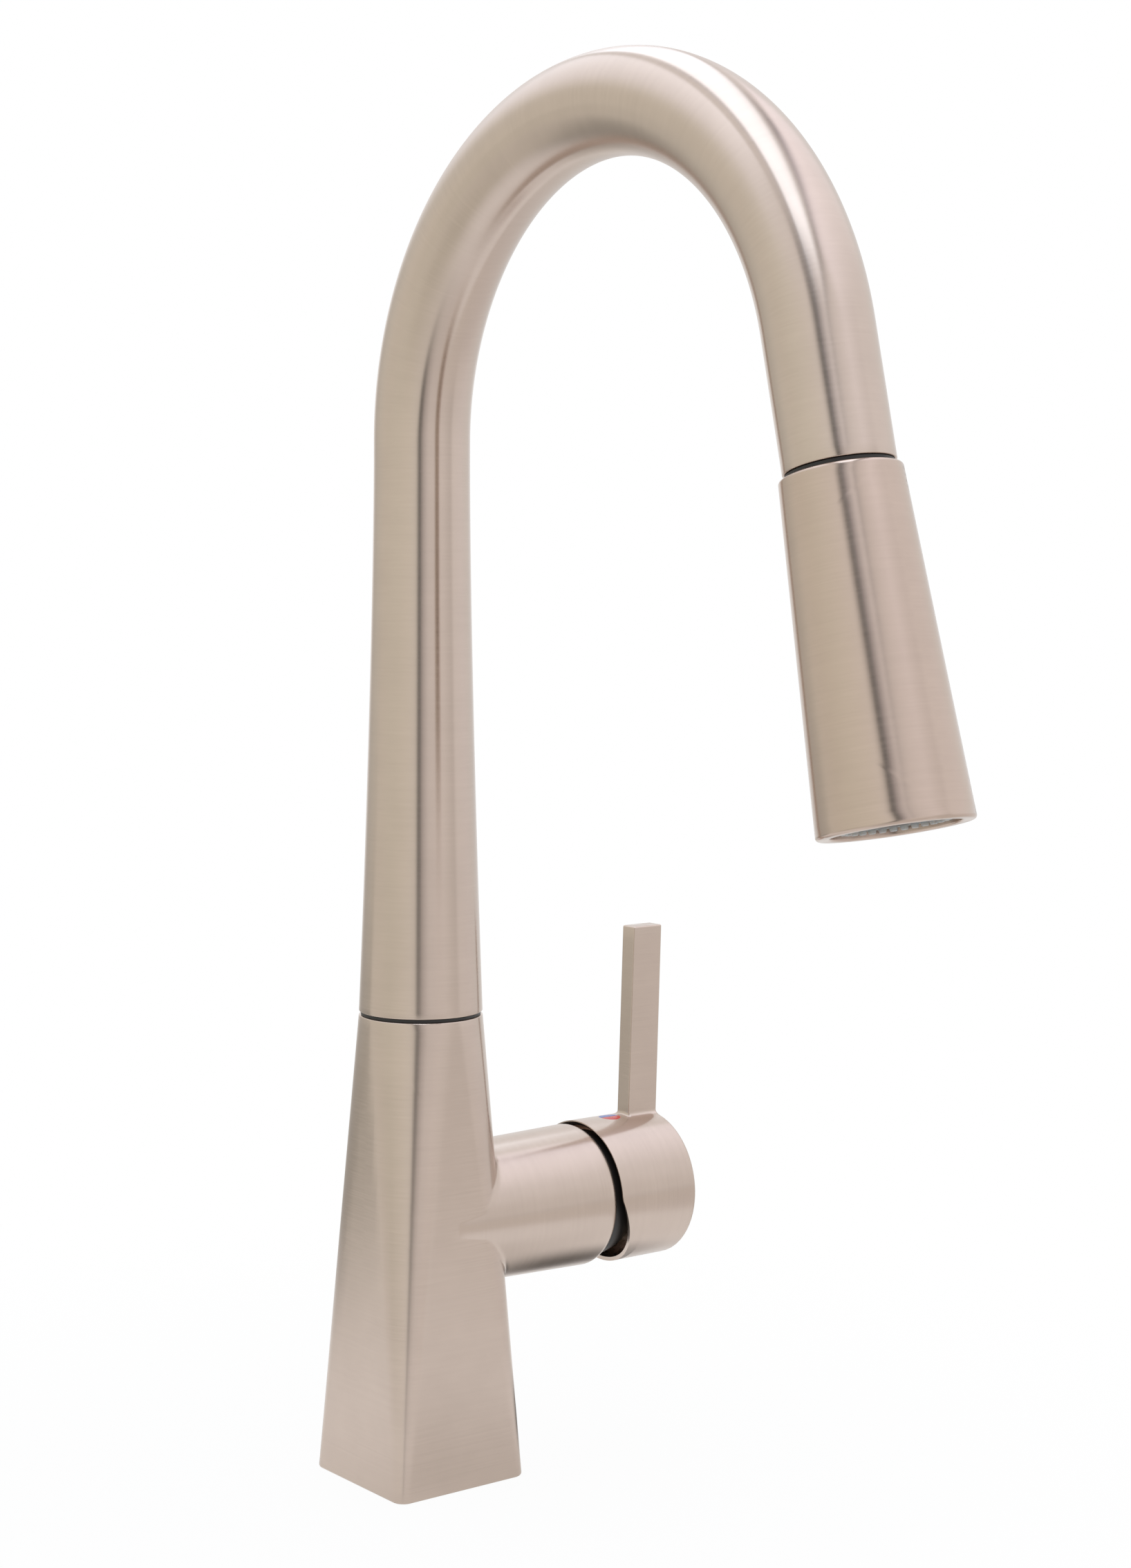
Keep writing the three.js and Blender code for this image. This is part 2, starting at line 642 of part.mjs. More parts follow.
add(valve, 'stem_set_screw',
  bar('z', SCREW_RADIUS, CLEAR - SOCKET_RADIUS, -stemHalf - CLEAR, [screwX, 0, 0]), steel);

// The temperature index: a red and a blue half disc in a pocket on top of the hub.
for (const [name, side, material] of [['index_hot', -1, red], ['index_cold', 1, blue]]) {
  const low = HUB_RADIUS - INDEX_DEPTH + CLEAR;
  const high = Math.sqrt(HUB_RADIUS ** 2 - INDEX_RADIUS ** 2);
  add(valve, name, cut(
    bar('z', INDEX_RADIUS, low, high, [INDEX_X, 0, 0], COARSE),
    box(INDEX_X - 2 * INDEX_RADIUS, INDEX_X + 2 * INDEX_RADIUS,
      side > 0 ? -2 * INDEX_RADIUS : -0.05, side > 0 ? 0.05 : 2 * INDEX_RADIUS, low - CUT, high + CUT),
  ), material);
}

// ---- swivel joint ----------------------------------------------------------------------------------

const spoutFoot = BODY_HEIGHT + RING_HEIGHT;
const lowerBush = spoutFoot + CLEAR;
const spigotTop = BODY_HEIGHT + SPIGOT_HEIGHT;
const clipLow = spigotTop - 2 * CLIP_THICK;
const upperBush = clipLow - CLEAR - BUSH_LENGTH;
add(faucet, 'swivel_spigot', turnedZ([
  [SPIGOT_BORE, BODY_CEILING + CLEAR],
  [SPIGOT_THREAD, BODY_CEILING + CLEAR],
  [SPIGOT_THREAD, BODY_HEIGHT],
  [SPIGOT_RADIUS, BODY_HEIGHT],
  [SPIGOT_RADIUS, clipLow - CLEAR],
  [SPIGOT_RADIUS - CLIP_DEPTH, clipLow - CLEAR],
  [SPIGOT_RADIUS - CLIP_DEPTH, clipLow + CLIP_THICK + CLEAR],
  [SPIGOT_RADIUS, clipLow + CLIP_THICK + CLEAR],
  [SPIGOT_RADIUS, spigotTop],
  [SPIGOT_BORE, spigotTop],
]), brass);
add(faucet, 'swivel_ring', turnedZ(
  sleeve(SPIGOT_RADIUS + CLEAR, JOINT_RADIUS - RING_RECESS, BODY_HEIGHT, spoutFoot), ROUND,
), blackPlastic);
add(faucet, 'spigot_clip', turnedZ(sleeve(
  SPIGOT_RADIUS - CLIP_DEPTH + CLEAR, BUSH_RADIUS - CLEAR, clipLow, clipLow + CLIP_THICK,
)), steel);
const bushBore = SPIGOT_RADIUS + CLEAR;
add(faucet, 'lower_bushing', turnedZ(
  sleeve(bushBore, BUSH_RADIUS, lowerBush, lowerBush + BUSH_LENGTH)), whitePlastic);
add(faucet, 'upper_bushing', turnedZ(
  sleeve(bushBore, BUSH_RADIUS, upperBush, upperBush + BUSH_LENGTH)), whitePlastic);

// ---- spout -----------------------------------------------------------------------------------------

// The spout's centre line in the plane X = 0: a straight riser, a rising quarter circle, a falling
// arc that stops short of vertical, and a straight leg. Each station has its place, its direction
// as an angle from +Z towards -Y, and the tube's radius there.
const fallSweep = 90 - TILT;
const crown = new THREE.Vector3(0, -RISE_RADIUS, ARC_START + RISE_RADIUS);
const riserRadius = (z) => {
  const down = THREE.MathUtils.clamp((TAPER_TOP - z) / (TAPER_TOP - BODY_HEIGHT), 0, 1);
  return TUBE_RADIUS + (JOINT_RADIUS - TUBE_RADIUS) * down ** TAPER_POWER;
};

function riseStation(turn) {
  const angle = radians(turn);
  const y = -RISE_RADIUS * (1 - Math.cos(angle));
  return { at: new THREE.Vector3(0, y, ARC_START + RISE_RADIUS * Math.sin(angle)), turn };
}

function fallStation(turn) {
  const angle = radians(turn - 90);
  const y = crown.y - FALL_RADIUS * Math.sin(angle);
  return { at: new THREE.Vector3(0, y, crown.z - FALL_RADIUS * (1 - Math.cos(angle))), turn };
}
const legDirection = new THREE.Vector3(0, -Math.sin(radians(TILT)), -Math.cos(radians(TILT)));
const legTop = fallStation(90 + fallSweep);
const legEnd = legTop.at.clone().addScaledVector(legDirection, LEG_LENGTH);
const evenly = (from, to, steps) =>
  Array.from({ length: steps + 1 }, (_, i) => from + ((to - from) * i) / steps);

const bend = [
  ...evenly(0, 90, 8).map(riseStation),
  ...evenly(90, 90 + fallSweep, 6).slice(1).map(fallStation),
];

// A ring of points round a station: X and the inward normal span its plane.
function ringAt({ at, turn }, radius, sides) {
  const angle = radians(turn);
  const normal = new THREE.Vector3(0, -Math.cos(angle), -Math.sin(angle));
  return evenly(0, 2 * Math.PI, sides).slice(0, -1).map((around_) => at.clone()
    .addScaledVector(normal, radius * Math.sin(around_))
    .add(new THREE.Vector3(radius * Math.cos(around_), 0, 0)));
}

const riser = evenly(spoutFoot, TAPER_TOP, 5).map((z) => ({ at: new THREE.Vector3(0, 0, z), turn: 0 }));
const spoutStations = [...riser, ...bend, { at: legEnd, turn: 90 + fallSweep }];
const outerRadius = ({ at }) => (at.y > -CLEAR ? riserRadius(at.z) : TUBE_RADIUS);

function spoutTube() {
  const outer = spoutStations.map((s) => ringAt(s, outerRadius(s), SPOUT_SIDES));
  const inner = spoutStations.map((s) => ringAt(s, outerRadius(s) - TUBE_WALL, SPOUT_SIDES));
  const counterbore = turnedZ(
    disc(BUSH_RADIUS + CLEAR, spoutFoot - CUT, spigotTop + CLEAR), ROUND);
  return toGeometry(toSolid(pipe(outer, inner)).subtract(toSolid(counterbore)));
}
add(faucet, 'spout_tube', spoutTube(), nickel);

// ---- spray hose and docking --------------------------------------------------------------------------

// The hose runs up the middle of the shank, body and spout. What lies in the straight leg moves
// with the spray head, so it is a piece of its own.
const hoseStart = { at: new THREE.Vector3(0, 0, -SHANK_DROP - 2), turn: 0 };
const hoseStations = [
  hoseStart,
  ...evenly(0, ARC_START, 4).slice(0, -1).map((z) => ({ at: new THREE.Vector3(0, 0, z), turn: 0 })),
  ...bend.filter((_, i) => i % 2 === 0),
];
add(faucet, 'spray_hose', skin(hoseStations.map((s) => ringAt(s, HOSE_RADIUS, SMALL))), braid);
add(faucet, 'hose_connector', turnedZ([
  [0, hoseStart.at.z - NIPPLE_LENGTH],
  [HOSE_RADIUS - 1, hoseStart.at.z - NIPPLE_LENGTH],
  [HOSE_RADIUS - 1, hoseStart.at.z - NIPPLE_LENGTH / 2],
  [HOSE_RADIUS + 0.5, hoseStart.at.z - NIPPLE_LENGTH / 2],
  [HOSE_RADIUS + 0.5, hoseStart.at.z - CLEAR],
  [0, hoseStart.at.z - CLEAR],
], 6), brass);

// From here on +Z runs back up the leg and the origin is the end of the spout.
outlet.position.copy(legEnd);
outlet.rotation.x = -radians(TILT);

const tubeBore = TUBE_RADIUS - TUBE_WALL;
const dockWall = tubeBore - CLEAR;
const headTop = -DOCK_RING;
add(outlet, 'dock_insert', turnedZ([
  [DOCK_BORE, DOCK_DEPTH],
  [dockWall, DOCK_DEPTH],
  [dockWall, -CLEAR],
  [TUBE_RADIUS - 2 * CLEAR, -CLEAR],
  [TUBE_RADIUS - 2 * CLEAR, headTop + CLEAR],
  [DOCK_BORE, headTop + CLEAR],
]), blackPlastic);
const magnetLow = DOCK_DEPTH + CLEAR;
add(outlet, 'dock_magnet', turnedZ(
  sleeve(MAGNET_BORE, dockWall, magnetLow, magnetLow + MAGNET_LENGTH)), magnetic);

const collarTop = DOCK_DEPTH - 2;
add(outlet, 'docking_collar', turnedZ([
  [HOSE_RADIUS + CLEAR, collarTop],
  [HOSE_RADIUS + 1.2, collarTop],
  [COLLAR_RADIUS, collarTop - 3],
  [COLLAR_RADIUS, headTop],
  [HOSE_RADIUS + CLEAR, headTop],
]), steel);
add(outlet, 'hose_tail', turnedZ(disc(HOSE_RADIUS, headTop, LEG_LENGTH - CLEAR), SMALL), braid);
const nutFoot = headTop - CLEAR - NUT_DEPTH;
add(outlet, 'hose_swivel_nut', turnedZ([
  [0, nutFoot],
  [WATERWAY_RADIUS, nutFoot],
  [WATERWAY_RADIUS, nutFoot + 2],
  [COLLAR_RADIUS - 0.5, nutFoot + 2],
  [COLLAR_RADIUS - 0.5, headTop - CLEAR],
  [0, headTop - CLEAR],
], COARSE), brass);

// ---- spray head --------------------------------------------------------------------------------------

const headEnd = headTop - HEAD_LENGTH;
const headRadius = (z) => THREE.MathUtils.mapLinear(z, headTop, headEnd, HEAD_TOP_RADIUS, HEAD_RADIUS);
const headBore = (z) => headRadius(z) - HEAD_WALL;
const lipBore = HEAD_RADIUS - LIP_WIDTH;
const faceZ = headEnd + FACE_RECESS;
const faceBack = faceZ + FACE_THICK;
const roofZ = headTop - HEAD_ROOF;
const collarHole = COLLAR_RADIUS + 2 * CLEAR;
const buttonZ = headTop - BUTTON_DEPTH;
const buttonFace = headRadius(buttonZ) + BUTTON_PROUD;
const buttonBack = buttonFace - BUTTON_THICK;

// A block with the button's outline, a slot with round ends standing along the head.
function buttonBlock(width, length, from, to) {
  const radius = width / 2;
  const straight = length / 2 - radius;
  const shape = new THREE.Shape();
  shape.absarc(0, buttonZ + straight, radius, 0, Math.PI, false);
  shape.absarc(0, buttonZ - straight, radius, Math.PI, 2 * Math.PI, false);
  shape.closePath();
  return new THREE.ExtrudeGeometry(shape, { depth: to - from, bevelEnabled: false, curveSegments: 8 })
    .rotateX(Math.PI / 2).translate(0, to, 0);
}

const buttonPocket = buttonBlock(BUTTON_WIDTH + 2 * CLEAR, BUTTON_LENGTH + 2 * CLEAR,
  buttonBack - BUTTON_TRAVEL - 2 * CLEAR, buttonFace + CUT);

add(outlet, 'head_shell', cut(
  turnedZ([
    [collarHole, headTop],
    [HEAD_TOP_RADIUS - HEAD_EDGE, headTop],
    [HEAD_TOP_RADIUS, headTop - HEAD_EDGE],
    [HEAD_RADIUS, headEnd + HEAD_EDGE],
    [HEAD_RADIUS - HEAD_EDGE, headEnd],
    [lipBore, headEnd],
    [lipBore, faceBack],
    [headBore(faceBack), faceBack],
    [headBore(roofZ), roofZ],
    [collarHole, roofZ],
  ], ROUND),
  buttonPocket,
), nickel);

const coreTop = roofZ - CLEAR;
const coreFoot = faceBack + CLEAR;
const coreRadius = (z) => headBore(z) - CLEAR;
add(outlet, 'waterway_core', cut(
  turnedZ([
    [0, coreFoot],
    [coreRadius(coreFoot), coreFoot],
    [coreRadius(coreTop), coreTop],
    [0, coreTop],
  ]),
  bar('z', COLLAR_RADIUS - 0.5 + CLEAR, nutFoot - CLEAR, coreTop + CUT, [0, 0, 0], COARSE),
  bar('z', WATERWAY_RADIUS, coreFoot - CUT, nutFoot, [0, 0, 0], SMALL),
  bar('z', AERATOR_RADIUS + CLEAR, coreFoot - CUT, faceZ + AERATOR_LENGTH + CLEAR, [0, 0, 0], COARSE),
  bar('y', SPOOL_RADIUS + CLEAR, -SPOOL_REACH - BUTTON_TRAVEL - 1, buttonBack, [0, 0, buttonZ], SMALL),
  buttonPocket,
), blackPlastic);
add(outlet, 'diverter_button', buttonBlock(BUTTON_WIDTH, BUTTON_LENGTH, buttonBack, buttonFace), blackPlastic);
add(outlet, 'diverter_spool',
  bar('y', SPOOL_RADIUS, -SPOOL_REACH, buttonBack - CLEAR, [0, 0, buttonZ], SMALL), whitePlastic);

// The spray face: a channelled plate that holds the silicone nozzle ring round the aerator.
const bandInner = NUB_CIRCLE - NOZZLE_BAND / 2;
const bandOuter = NUB_CIRCLE + NOZZLE_BAND / 2;
const plateFoot = faceBack - 1;
add(outlet, 'spray_face', turnedZ([
  [AERATOR_RADIUS + CLEAR, faceZ],
  [bandInner - CLEAR, faceZ],
  [bandInner - CLEAR, plateFoot],
  [bandOuter + CLEAR, plateFoot],
  [bandOuter + CLEAR, faceZ],
  [lipBore - CLEAR, faceZ],
  [lipBore - CLEAR, faceBack],
  [AERATOR_RADIUS + CLEAR, faceBack],
]), greyPlastic);
const nub = new THREE.CylinderGeometry(NUB_RADIUS, NUB_RADIUS * 0.75, NUB_HEIGHT + 0.4, 6)
  .rotateX(Math.PI / 2).translate(NUB_CIRCLE, 0, faceZ - NUB_HEIGHT / 2 + 0.2);
add(outlet, 'nozzle_ring', join(
  turnedZ(sleeve(bandInner, bandOuter, faceZ, plateFoot - CLEAR)),
  ...around(nub, NUB_COUNT),
), silicone);
add(outlet, 'aerator_housing', turnedZ([
  [AERATOR_RADIUS - 1.2, faceZ],
  [AERATOR_RADIUS, faceZ],
  [AERATOR_RADIUS, faceZ + AERATOR_LENGTH],
  [WATERWAY_RADIUS, faceZ + AERATOR_LENGTH],
  [WATERWAY_RADIUS, faceZ + AERATOR_LENGTH - 1.2],
  [AERATOR_RADIUS - 1.2, faceZ + AERATOR_LENGTH - 1.2],
]), blackPlastic);
add(outlet, 'aerator_screen', turnedZ(
  disc(AERATOR_RADIUS - 1.2 - CLEAR, faceZ + 1, faceZ + 2.2), COARSE), steel);

// ---- fixing under the deck -----------------------------------------------------------------------------

add(faucet, 'deck_gasket', cut(
  skin([
    roundedSquare(FOOT_HALF - BODY_WALL - CLEAR, FOOT_EDGE, 0),
    roundedSquare(FOOT_HALF - BODY_WALL - CLEAR, FOOT_EDGE, GASKET_RECESS - CLEAR),
  ]),
  bar('z', SHANK_RADIUS + CLEAR, -CUT, GASKET_RECESS + CUT, [0, 0, 0], COARSE),
), rubber);
add(faucet, 'mounting_shank', turnedZ(
  sleeve(SHANK_BORE, SHANK_RADIUS, -SHANK_DROP, BODY_FLOOR - CLEAR)), brass);
const washerBore = SHANK_RADIUS + CLEAR;
const rubberLow = -DECK_THICK - RUBBER_THICK;
add(faucet, 'rubber_washer', turnedZ(
  sleeve(washerBore, WASHER_RADIUS, rubberLow, -DECK_THICK)), rubber);
const washerLow = rubberLow - WASHER_THICK;
add(faucet, 'metal_washer', turnedZ(
  sleeve(washerBore, WASHER_RADIUS - 1, washerLow, rubberLow)), steel);
const nutTop = washerLow - NUT_DROP;
const jackHole = bar('z', JACK_RADIUS + CLEAR, nutTop - NUT_THICK - CUT, nutTop + CUT, [JACK_CIRCLE, 0, 0], SMALL);
add(faucet, 'mounting_nut', cut(
  turnedZ(sleeve(washerBore, NUT_RADIUS, nutTop - NUT_THICK, nutTop)),
  ...around(jackHole, JACK_COUNT),
), brass);
const jackFoot = nutTop - NUT_THICK - CLEAR;
const jackScrew = turnedZ([
  [0, jackFoot - JACK_HEAD],
  [JACK_RADIUS * 1.7, jackFoot - JACK_HEAD],
  [JACK_RADIUS * 1.7, jackFoot],
  [JACK_RADIUS, jackFoot],
  [JACK_RADIUS, washerLow - CLEAR],
  [0, washerLow - CLEAR],
], SMALL).translate(JACK_CIRCLE, 0, 0);
around(jackScrew, JACK_COUNT).forEach((screw, i) => add(faucet, `jack_screw_${i + 1}`, screw, steel));

// Two supply pipes and the outlet pipe pass down the shank beside the hose. Inside the body each
// moves over to its port by an S-bend, a smooth step in X and Y between two heights.
class PipeRoute extends THREE.Curve {
  constructor(foot, head) {
    super();
    this.foot = foot;
    this.head = head;
  }

  getPoint(t) {
    const point = new THREE.Vector3().lerpVectors(this.foot, this.head, t);
    const shift = THREE.MathUtils.smoothstep(point.z, BODY_FLOOR, PORT_APPROACH);
    point.x = THREE.MathUtils.lerp(this.foot.x, this.head.x, shift);
    point.y = THREE.MathUtils.lerp(this.foot.y, this.head.y, shift);
    return point;
  }
}

function risingPipe(angle, x, y, top) {
  const foot = new THREE.Vector3(PIPE_CIRCLE, 0, -PIPE_DROP)
    .applyAxisAngle(new THREE.Vector3(0, 0, 1), radians(angle));
  const section = new THREE.Shape();
  section.absarc(0, 0, PIPE_RADIUS, 0, 2 * Math.PI, false);
  return closed(new THREE.ExtrudeGeometry(section, {
    steps: 12,
    extrudePath: new PipeRoute(foot, new THREE.Vector3(x, y, top)),
    curveSegments: 4,
    bevelEnabled: false,
  }));
}

function nipple(angle) {
  const low = -PIPE_DROP - CLEAR - NIPPLE_LENGTH;
  return turnedZ(sleeve(PIPE_BORE, NIPPLE_RADIUS, low, -PIPE_DROP - CLEAR), SMALL)
    .translate(PIPE_CIRCLE, 0, 0).rotateZ(radians(angle));
}
const inletTop = VALVE_HEIGHT - PORT_RADIUS - 2;
for (const [name, angle, y] of [['hot', PIPE_ANGLE, INLET_Y], ['cold', -PIPE_ANGLE, -INLET_Y]]) {
  add(faucet, `${name}_supply_pipe`, risingPipe(angle, INLET_X, y, inletTop), brass);
  add(faucet, `${name}_inlet_nipple`, nipple(angle), brass);
}
add(faucet, 'outlet_pipe', risingPipe(0, OUTLET_X, 0, VALVE_HEIGHT - OUTLET_DROP - PORT_RADIUS - 2), brass);
add(faucet, 'outlet_nipple', nipple(0), brass);

export default faucet;
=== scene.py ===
# %% [markdown]
# # A pull-down kitchen faucet
#
# A tall single-lever faucet in satin brushed nickel: a square foot that turns into a round neck,
# a gooseneck with a docked spray head, and a flat lever on the side of a round valve boss.
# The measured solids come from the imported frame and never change. This script gives them their
# looks: fine surfaces worked out with numpy, procedural finishes, soft light and a camera.
#
# All shapes are worked out in millimetres and written to the meshes in metres.

# %% Load the frame
import json

import bpy
import numpy as np
from mathutils import Matrix, Vector

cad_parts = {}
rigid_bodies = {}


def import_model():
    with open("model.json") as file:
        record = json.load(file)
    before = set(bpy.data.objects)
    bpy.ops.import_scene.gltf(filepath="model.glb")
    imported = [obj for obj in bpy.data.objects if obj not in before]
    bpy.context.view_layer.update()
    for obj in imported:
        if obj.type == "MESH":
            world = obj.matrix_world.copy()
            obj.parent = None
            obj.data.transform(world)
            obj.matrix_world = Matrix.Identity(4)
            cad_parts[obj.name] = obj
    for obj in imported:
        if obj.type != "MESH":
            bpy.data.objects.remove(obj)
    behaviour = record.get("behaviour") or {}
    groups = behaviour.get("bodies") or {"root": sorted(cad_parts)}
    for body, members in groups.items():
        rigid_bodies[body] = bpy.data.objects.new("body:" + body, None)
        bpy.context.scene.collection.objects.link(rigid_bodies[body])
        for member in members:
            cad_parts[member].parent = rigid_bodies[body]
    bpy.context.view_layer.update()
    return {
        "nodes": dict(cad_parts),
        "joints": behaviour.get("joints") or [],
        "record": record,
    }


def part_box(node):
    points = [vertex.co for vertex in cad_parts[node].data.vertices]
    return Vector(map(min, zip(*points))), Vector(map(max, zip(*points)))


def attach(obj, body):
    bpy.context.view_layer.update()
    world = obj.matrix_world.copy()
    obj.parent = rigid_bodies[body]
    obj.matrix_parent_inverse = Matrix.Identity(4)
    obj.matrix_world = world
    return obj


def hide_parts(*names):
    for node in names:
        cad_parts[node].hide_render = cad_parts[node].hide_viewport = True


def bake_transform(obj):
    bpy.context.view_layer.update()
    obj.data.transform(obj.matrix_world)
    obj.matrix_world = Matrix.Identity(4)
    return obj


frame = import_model()
MM = 0.001
PI = np.pi
scene = bpy.context.scene


def reach(node):
    """Lowest and highest corner of a CAD node at rest, in millimetres."""
    low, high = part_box(node)
    return np.array(low) / MM, np.array(high) / MM


def joint(name):
    """A joint's place in millimetres (a slide has none) and its axis."""
    found = next(j for j in frame["joints"] if j["name"] == name)
    return np.array(found.get("pos_m", (0, 0, 0))) / MM, np.array(found["axis"], float)


# %% [markdown]
# ## The camera
#
# The camera comes first, because everything else is judged through it. It stands a little left of
# the faucet at about two thirds of its height and looks slightly down, with a long lens, so the
# upright lines stay nearly parallel. A camera looks down its own -Z axis, so its turn is built
# from three directions: right, up and back.

# %% Place the camera
CAMERA_AT = (-471.23, -675.87, 281.28)
CAMERA_TURN = np.radians(-37.91)
CAMERA_PITCH = np.radians(-4.79)
CAMERA_ROLL = np.radians(0.37)
CAMERA_LENS = 62.873  # for a 36 mm sensor along the picture's long side


def camera_frame(turn, pitch, roll):
    """The camera's right, up and back directions. The view direction is +Y turned about Z and then
    tipped by the pitch; right and up are turned round it by the roll."""
    ahead = Vector((-np.sin(turn) * np.cos(pitch), np.cos(turn) * np.cos(pitch), np.sin(pitch)))
    level = Vector((np.cos(turn), np.sin(turn), 0))
    upright = level.cross(ahead)
    right = level * np.cos(roll) + upright * np.sin(roll)
    up = upright * np.cos(roll) - level * np.sin(roll)
    return right, up, -ahead


def add_camera():
    lens = bpy.data.cameras.new("camera")
    lens.sensor_fit = "AUTO"
    lens.sensor_width = 36
    lens.lens = CAMERA_LENS
    lens.clip_start, lens.clip_end = 0.05, 20
    camera = bpy.data.objects.new("camera", lens)
    scene.collection.objects.link(camera)
    axes = Matrix(camera_frame(CAMERA_TURN, CAMERA_PITCH, CAMERA_ROLL)).transposed()
    camera.matrix_world = Matrix.Translation(Vector(CAMERA_AT) * MM) @ axes.to_4x4()
    scene.camera = camera
    return camera


camera = add_camera()
print("camera at", [round(c, 3) for c in camera.location])

# %% [markdown]
# ## From grids of points to meshes
#
# Almost every visible surface here is a grid: rows of points, one row after another along the
# piece. Neighbouring rows and columns make quads. A piece can be several grids that meet along
# shared edges; merging points that coincide closes it into one skin, and recalculating the normals
# then turns every face outwards. Sharp edges are marked by angle, so that a rounded edge shades
# smoothly and a crisp one stays crisp.
#
# Each grid also carries a UV map: U runs along the piece and V round it, both in metres, so brush
# lines follow the form and have the same width everywhere. For most grids both are measured on the
# grid itself; where the rows don't run along the piece, they are stated.

# %% Grids, meshes and the UV map along a piece
import bmesh

MERGE = 1e-6
SHARP = np.radians(38)
finishes = {}  # the material for each material slot


def grid_quads(rows, columns, wrap):
    """Corner numbers of the quads between neighbouring rows and columns; wrap joins the last
    column to the first."""
    row = np.arange(rows - 1)[:, None] * columns
    column = np.arange(columns if wrap else columns - 1)[None, :]
    after = (column + 1) % columns
    corners = [row + column, row + after, row + columns + after, row + columns + column]
    return np.stack(corners, -1).reshape(-1, 4)


def measured_uv(points, wrap):
    """U is the average distance gone from row to row, V the distance gone from column to column
    along the widest row, both in metres. A closed grid gets one more column, where V goes on."""
    steps = np.linalg.norm(np.diff(points, axis=0), axis=-1).mean(1)
    along = np.concatenate([[0], np.cumsum(steps)]) * MM
    ring = np.concatenate([points, points[:, :1]], 1) if wrap else points
    across = np.linalg.norm(np.diff(ring, axis=1), axis=-1)
    widest = across[np.argmax(across.sum(1))]
    around = np.concatenate([[0], np.cumsum(widest)]) * MM
    return np.stack(np.broadcast_arrays(along[:, None], around), -1)


def stated_uv(along, around, period):
    """The same kind of map from stated distances in millimetres, one for each point of a closed
    grid. Where V jumps back by its period, it goes on evenly instead."""
    along = np.concatenate([along, along[:, :1]], 1)
    around = np.unwrap(np.concatenate([around, around[:, :1]], 1), period=period, axis=1)
    return np.stack([along, around], -1) * MM


def build_mesh(name, grids):
    """One mesh from grids. Each grid is (points, wrap) or (points, wrap, uv): an array of rows x
    columns x 3 in millimetres, whether its columns close into rings, and a stated map."""
    corners, quads, uvs, start = [], [], [], 0
    for points, wrap, *stated in grids:
        rows, columns = points.shape[:2]
        uv = stated[0] if stated else measured_uv(points, wrap)
        corners.append(points.reshape(-1, 3) * MM)
        quads.append(grid_quads(rows, columns, wrap) + start)
        uvs.append(np.stack([uv[:-1, :-1], uv[:-1, 1:], uv[1:, 1:], uv[1:, :-1]], 2).reshape(-1, 2))
        start += rows * columns
    mesh = bpy.data.meshes.new(name)
    mesh.from_pydata(np.concatenate(corners), [], np.concatenate(quads).tolist())
    mesh.uv_layers.new(name="UVMap").uv.foreach_set("vector", np.concatenate(uvs).ravel())
    tidy = bmesh.new()
    tidy.from_mesh(mesh)
    bmesh.ops.remove_doubles(tidy, verts=tidy.verts, dist=MERGE)
    bmesh.ops.dissolve_degenerate(tidy, edges=tidy.edges, dist=MERGE / 10)
    bmesh.ops.recalc_face_normals(tidy, faces=tidy.faces)
    open_edges = sum(1 for edge in tidy.edges if not edge.is_manifold)
    tidy.to_mesh(mesh)
    tidy.free()
    mesh.polygons.foreach_set("use_smooth", np.ones(len(mesh.polygons), bool))
    mesh.set_sharp_from_angle(angle=SHARP)
    print(f"{name}: {len(mesh.polygons)} faces, {open_edges} open edges")
    return mesh


def piece(name, grids, body, slot, *nodes, material=None, bend=None):
    """An object made of grids. It gets its slot's finish or another material, rides on a CAD body
    and stands for nodes. With bend, the piece keeps the place it is built in and rides on no body."""
    mesh = build_mesh(name, grids)
    mesh.materials.append(material or finishes[slot])
    thing = bpy.data.objects.new(name, mesh)
    scene.collection.objects.link(thing)
    if bend:
        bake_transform(thing)
    else:
        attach(thing, body)
    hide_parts(*nodes)


# %% [markdown]
# ## Profiles and rounded edges
#
# A turned form is a profile of (radius, height) points carried once round an axis. The corners of
# a real turned part are never perfectly sharp: each gets a small round, and that thin round is
# what catches the light and draws the edge. So profiles are written as sharp corners with a
# radius for each, and a helper replaces every corner by an arc.


# %% Round the corners of a profile
def rounded_profile(corners, steps=6):
    """Points along a profile whose corners are rounded. Each corner is (radius, height, round).
    The arc starts and ends where it touches the two sides, and its points lie on the circle that
    touches both, found from the bisector of the corner."""
    points = []
    for i, (r, z, size) in enumerate(corners):
        here = np.array([r, z], float)
        if size <= 0 or i in (0, len(corners) - 1):
            points.append(here[None])
            continue
        back = np.array(corners[i - 1][:2], float) - here
        ahead = np.array(corners[i + 1][:2], float) - here
        back, ahead = back / np.linalg.norm(back), ahead / np.linalg.norm(ahead)
        half = np.arccos(np.clip(back @ ahead, -1, 1)) / 2
        centre = here + (back + ahead) / np.linalg.norm(back + ahead) * size / np.sin(half)
        first = here + back * size / np.tan(half) - centre
        last = here + ahead * size / np.tan(half) - centre
        sweep = np.arctan2(first[0] * last[1] - first[1] * last[0], first @ last)
        turn = np.linspace(0, sweep, steps + 1)[:, None]
        side = np.array([-first[1], first[0]])
        points.append(centre + first * np.cos(turn) + side * np.sin(turn))
    return np.concatenate(points)


def polar(radius, angle, height):
    """Points at a radius, angle and height round the Z axis."""
    return np.stack(np.broadcast_arrays(radius * np.cos(angle), radius * np.sin(angle), height), -1)


def round_turn(columns):
    """The angles of a ring's columns."""
    return np.linspace(0, 2 * PI, columns, endpoint=False)


def turned(profile, columns):
    """A profile of (radius, height) carried once round the Z axis: each point of the profile
    becomes a ring of that radius at that height."""
    return polar(profile[:, :1], round_turn(columns), profile[:, 1:])


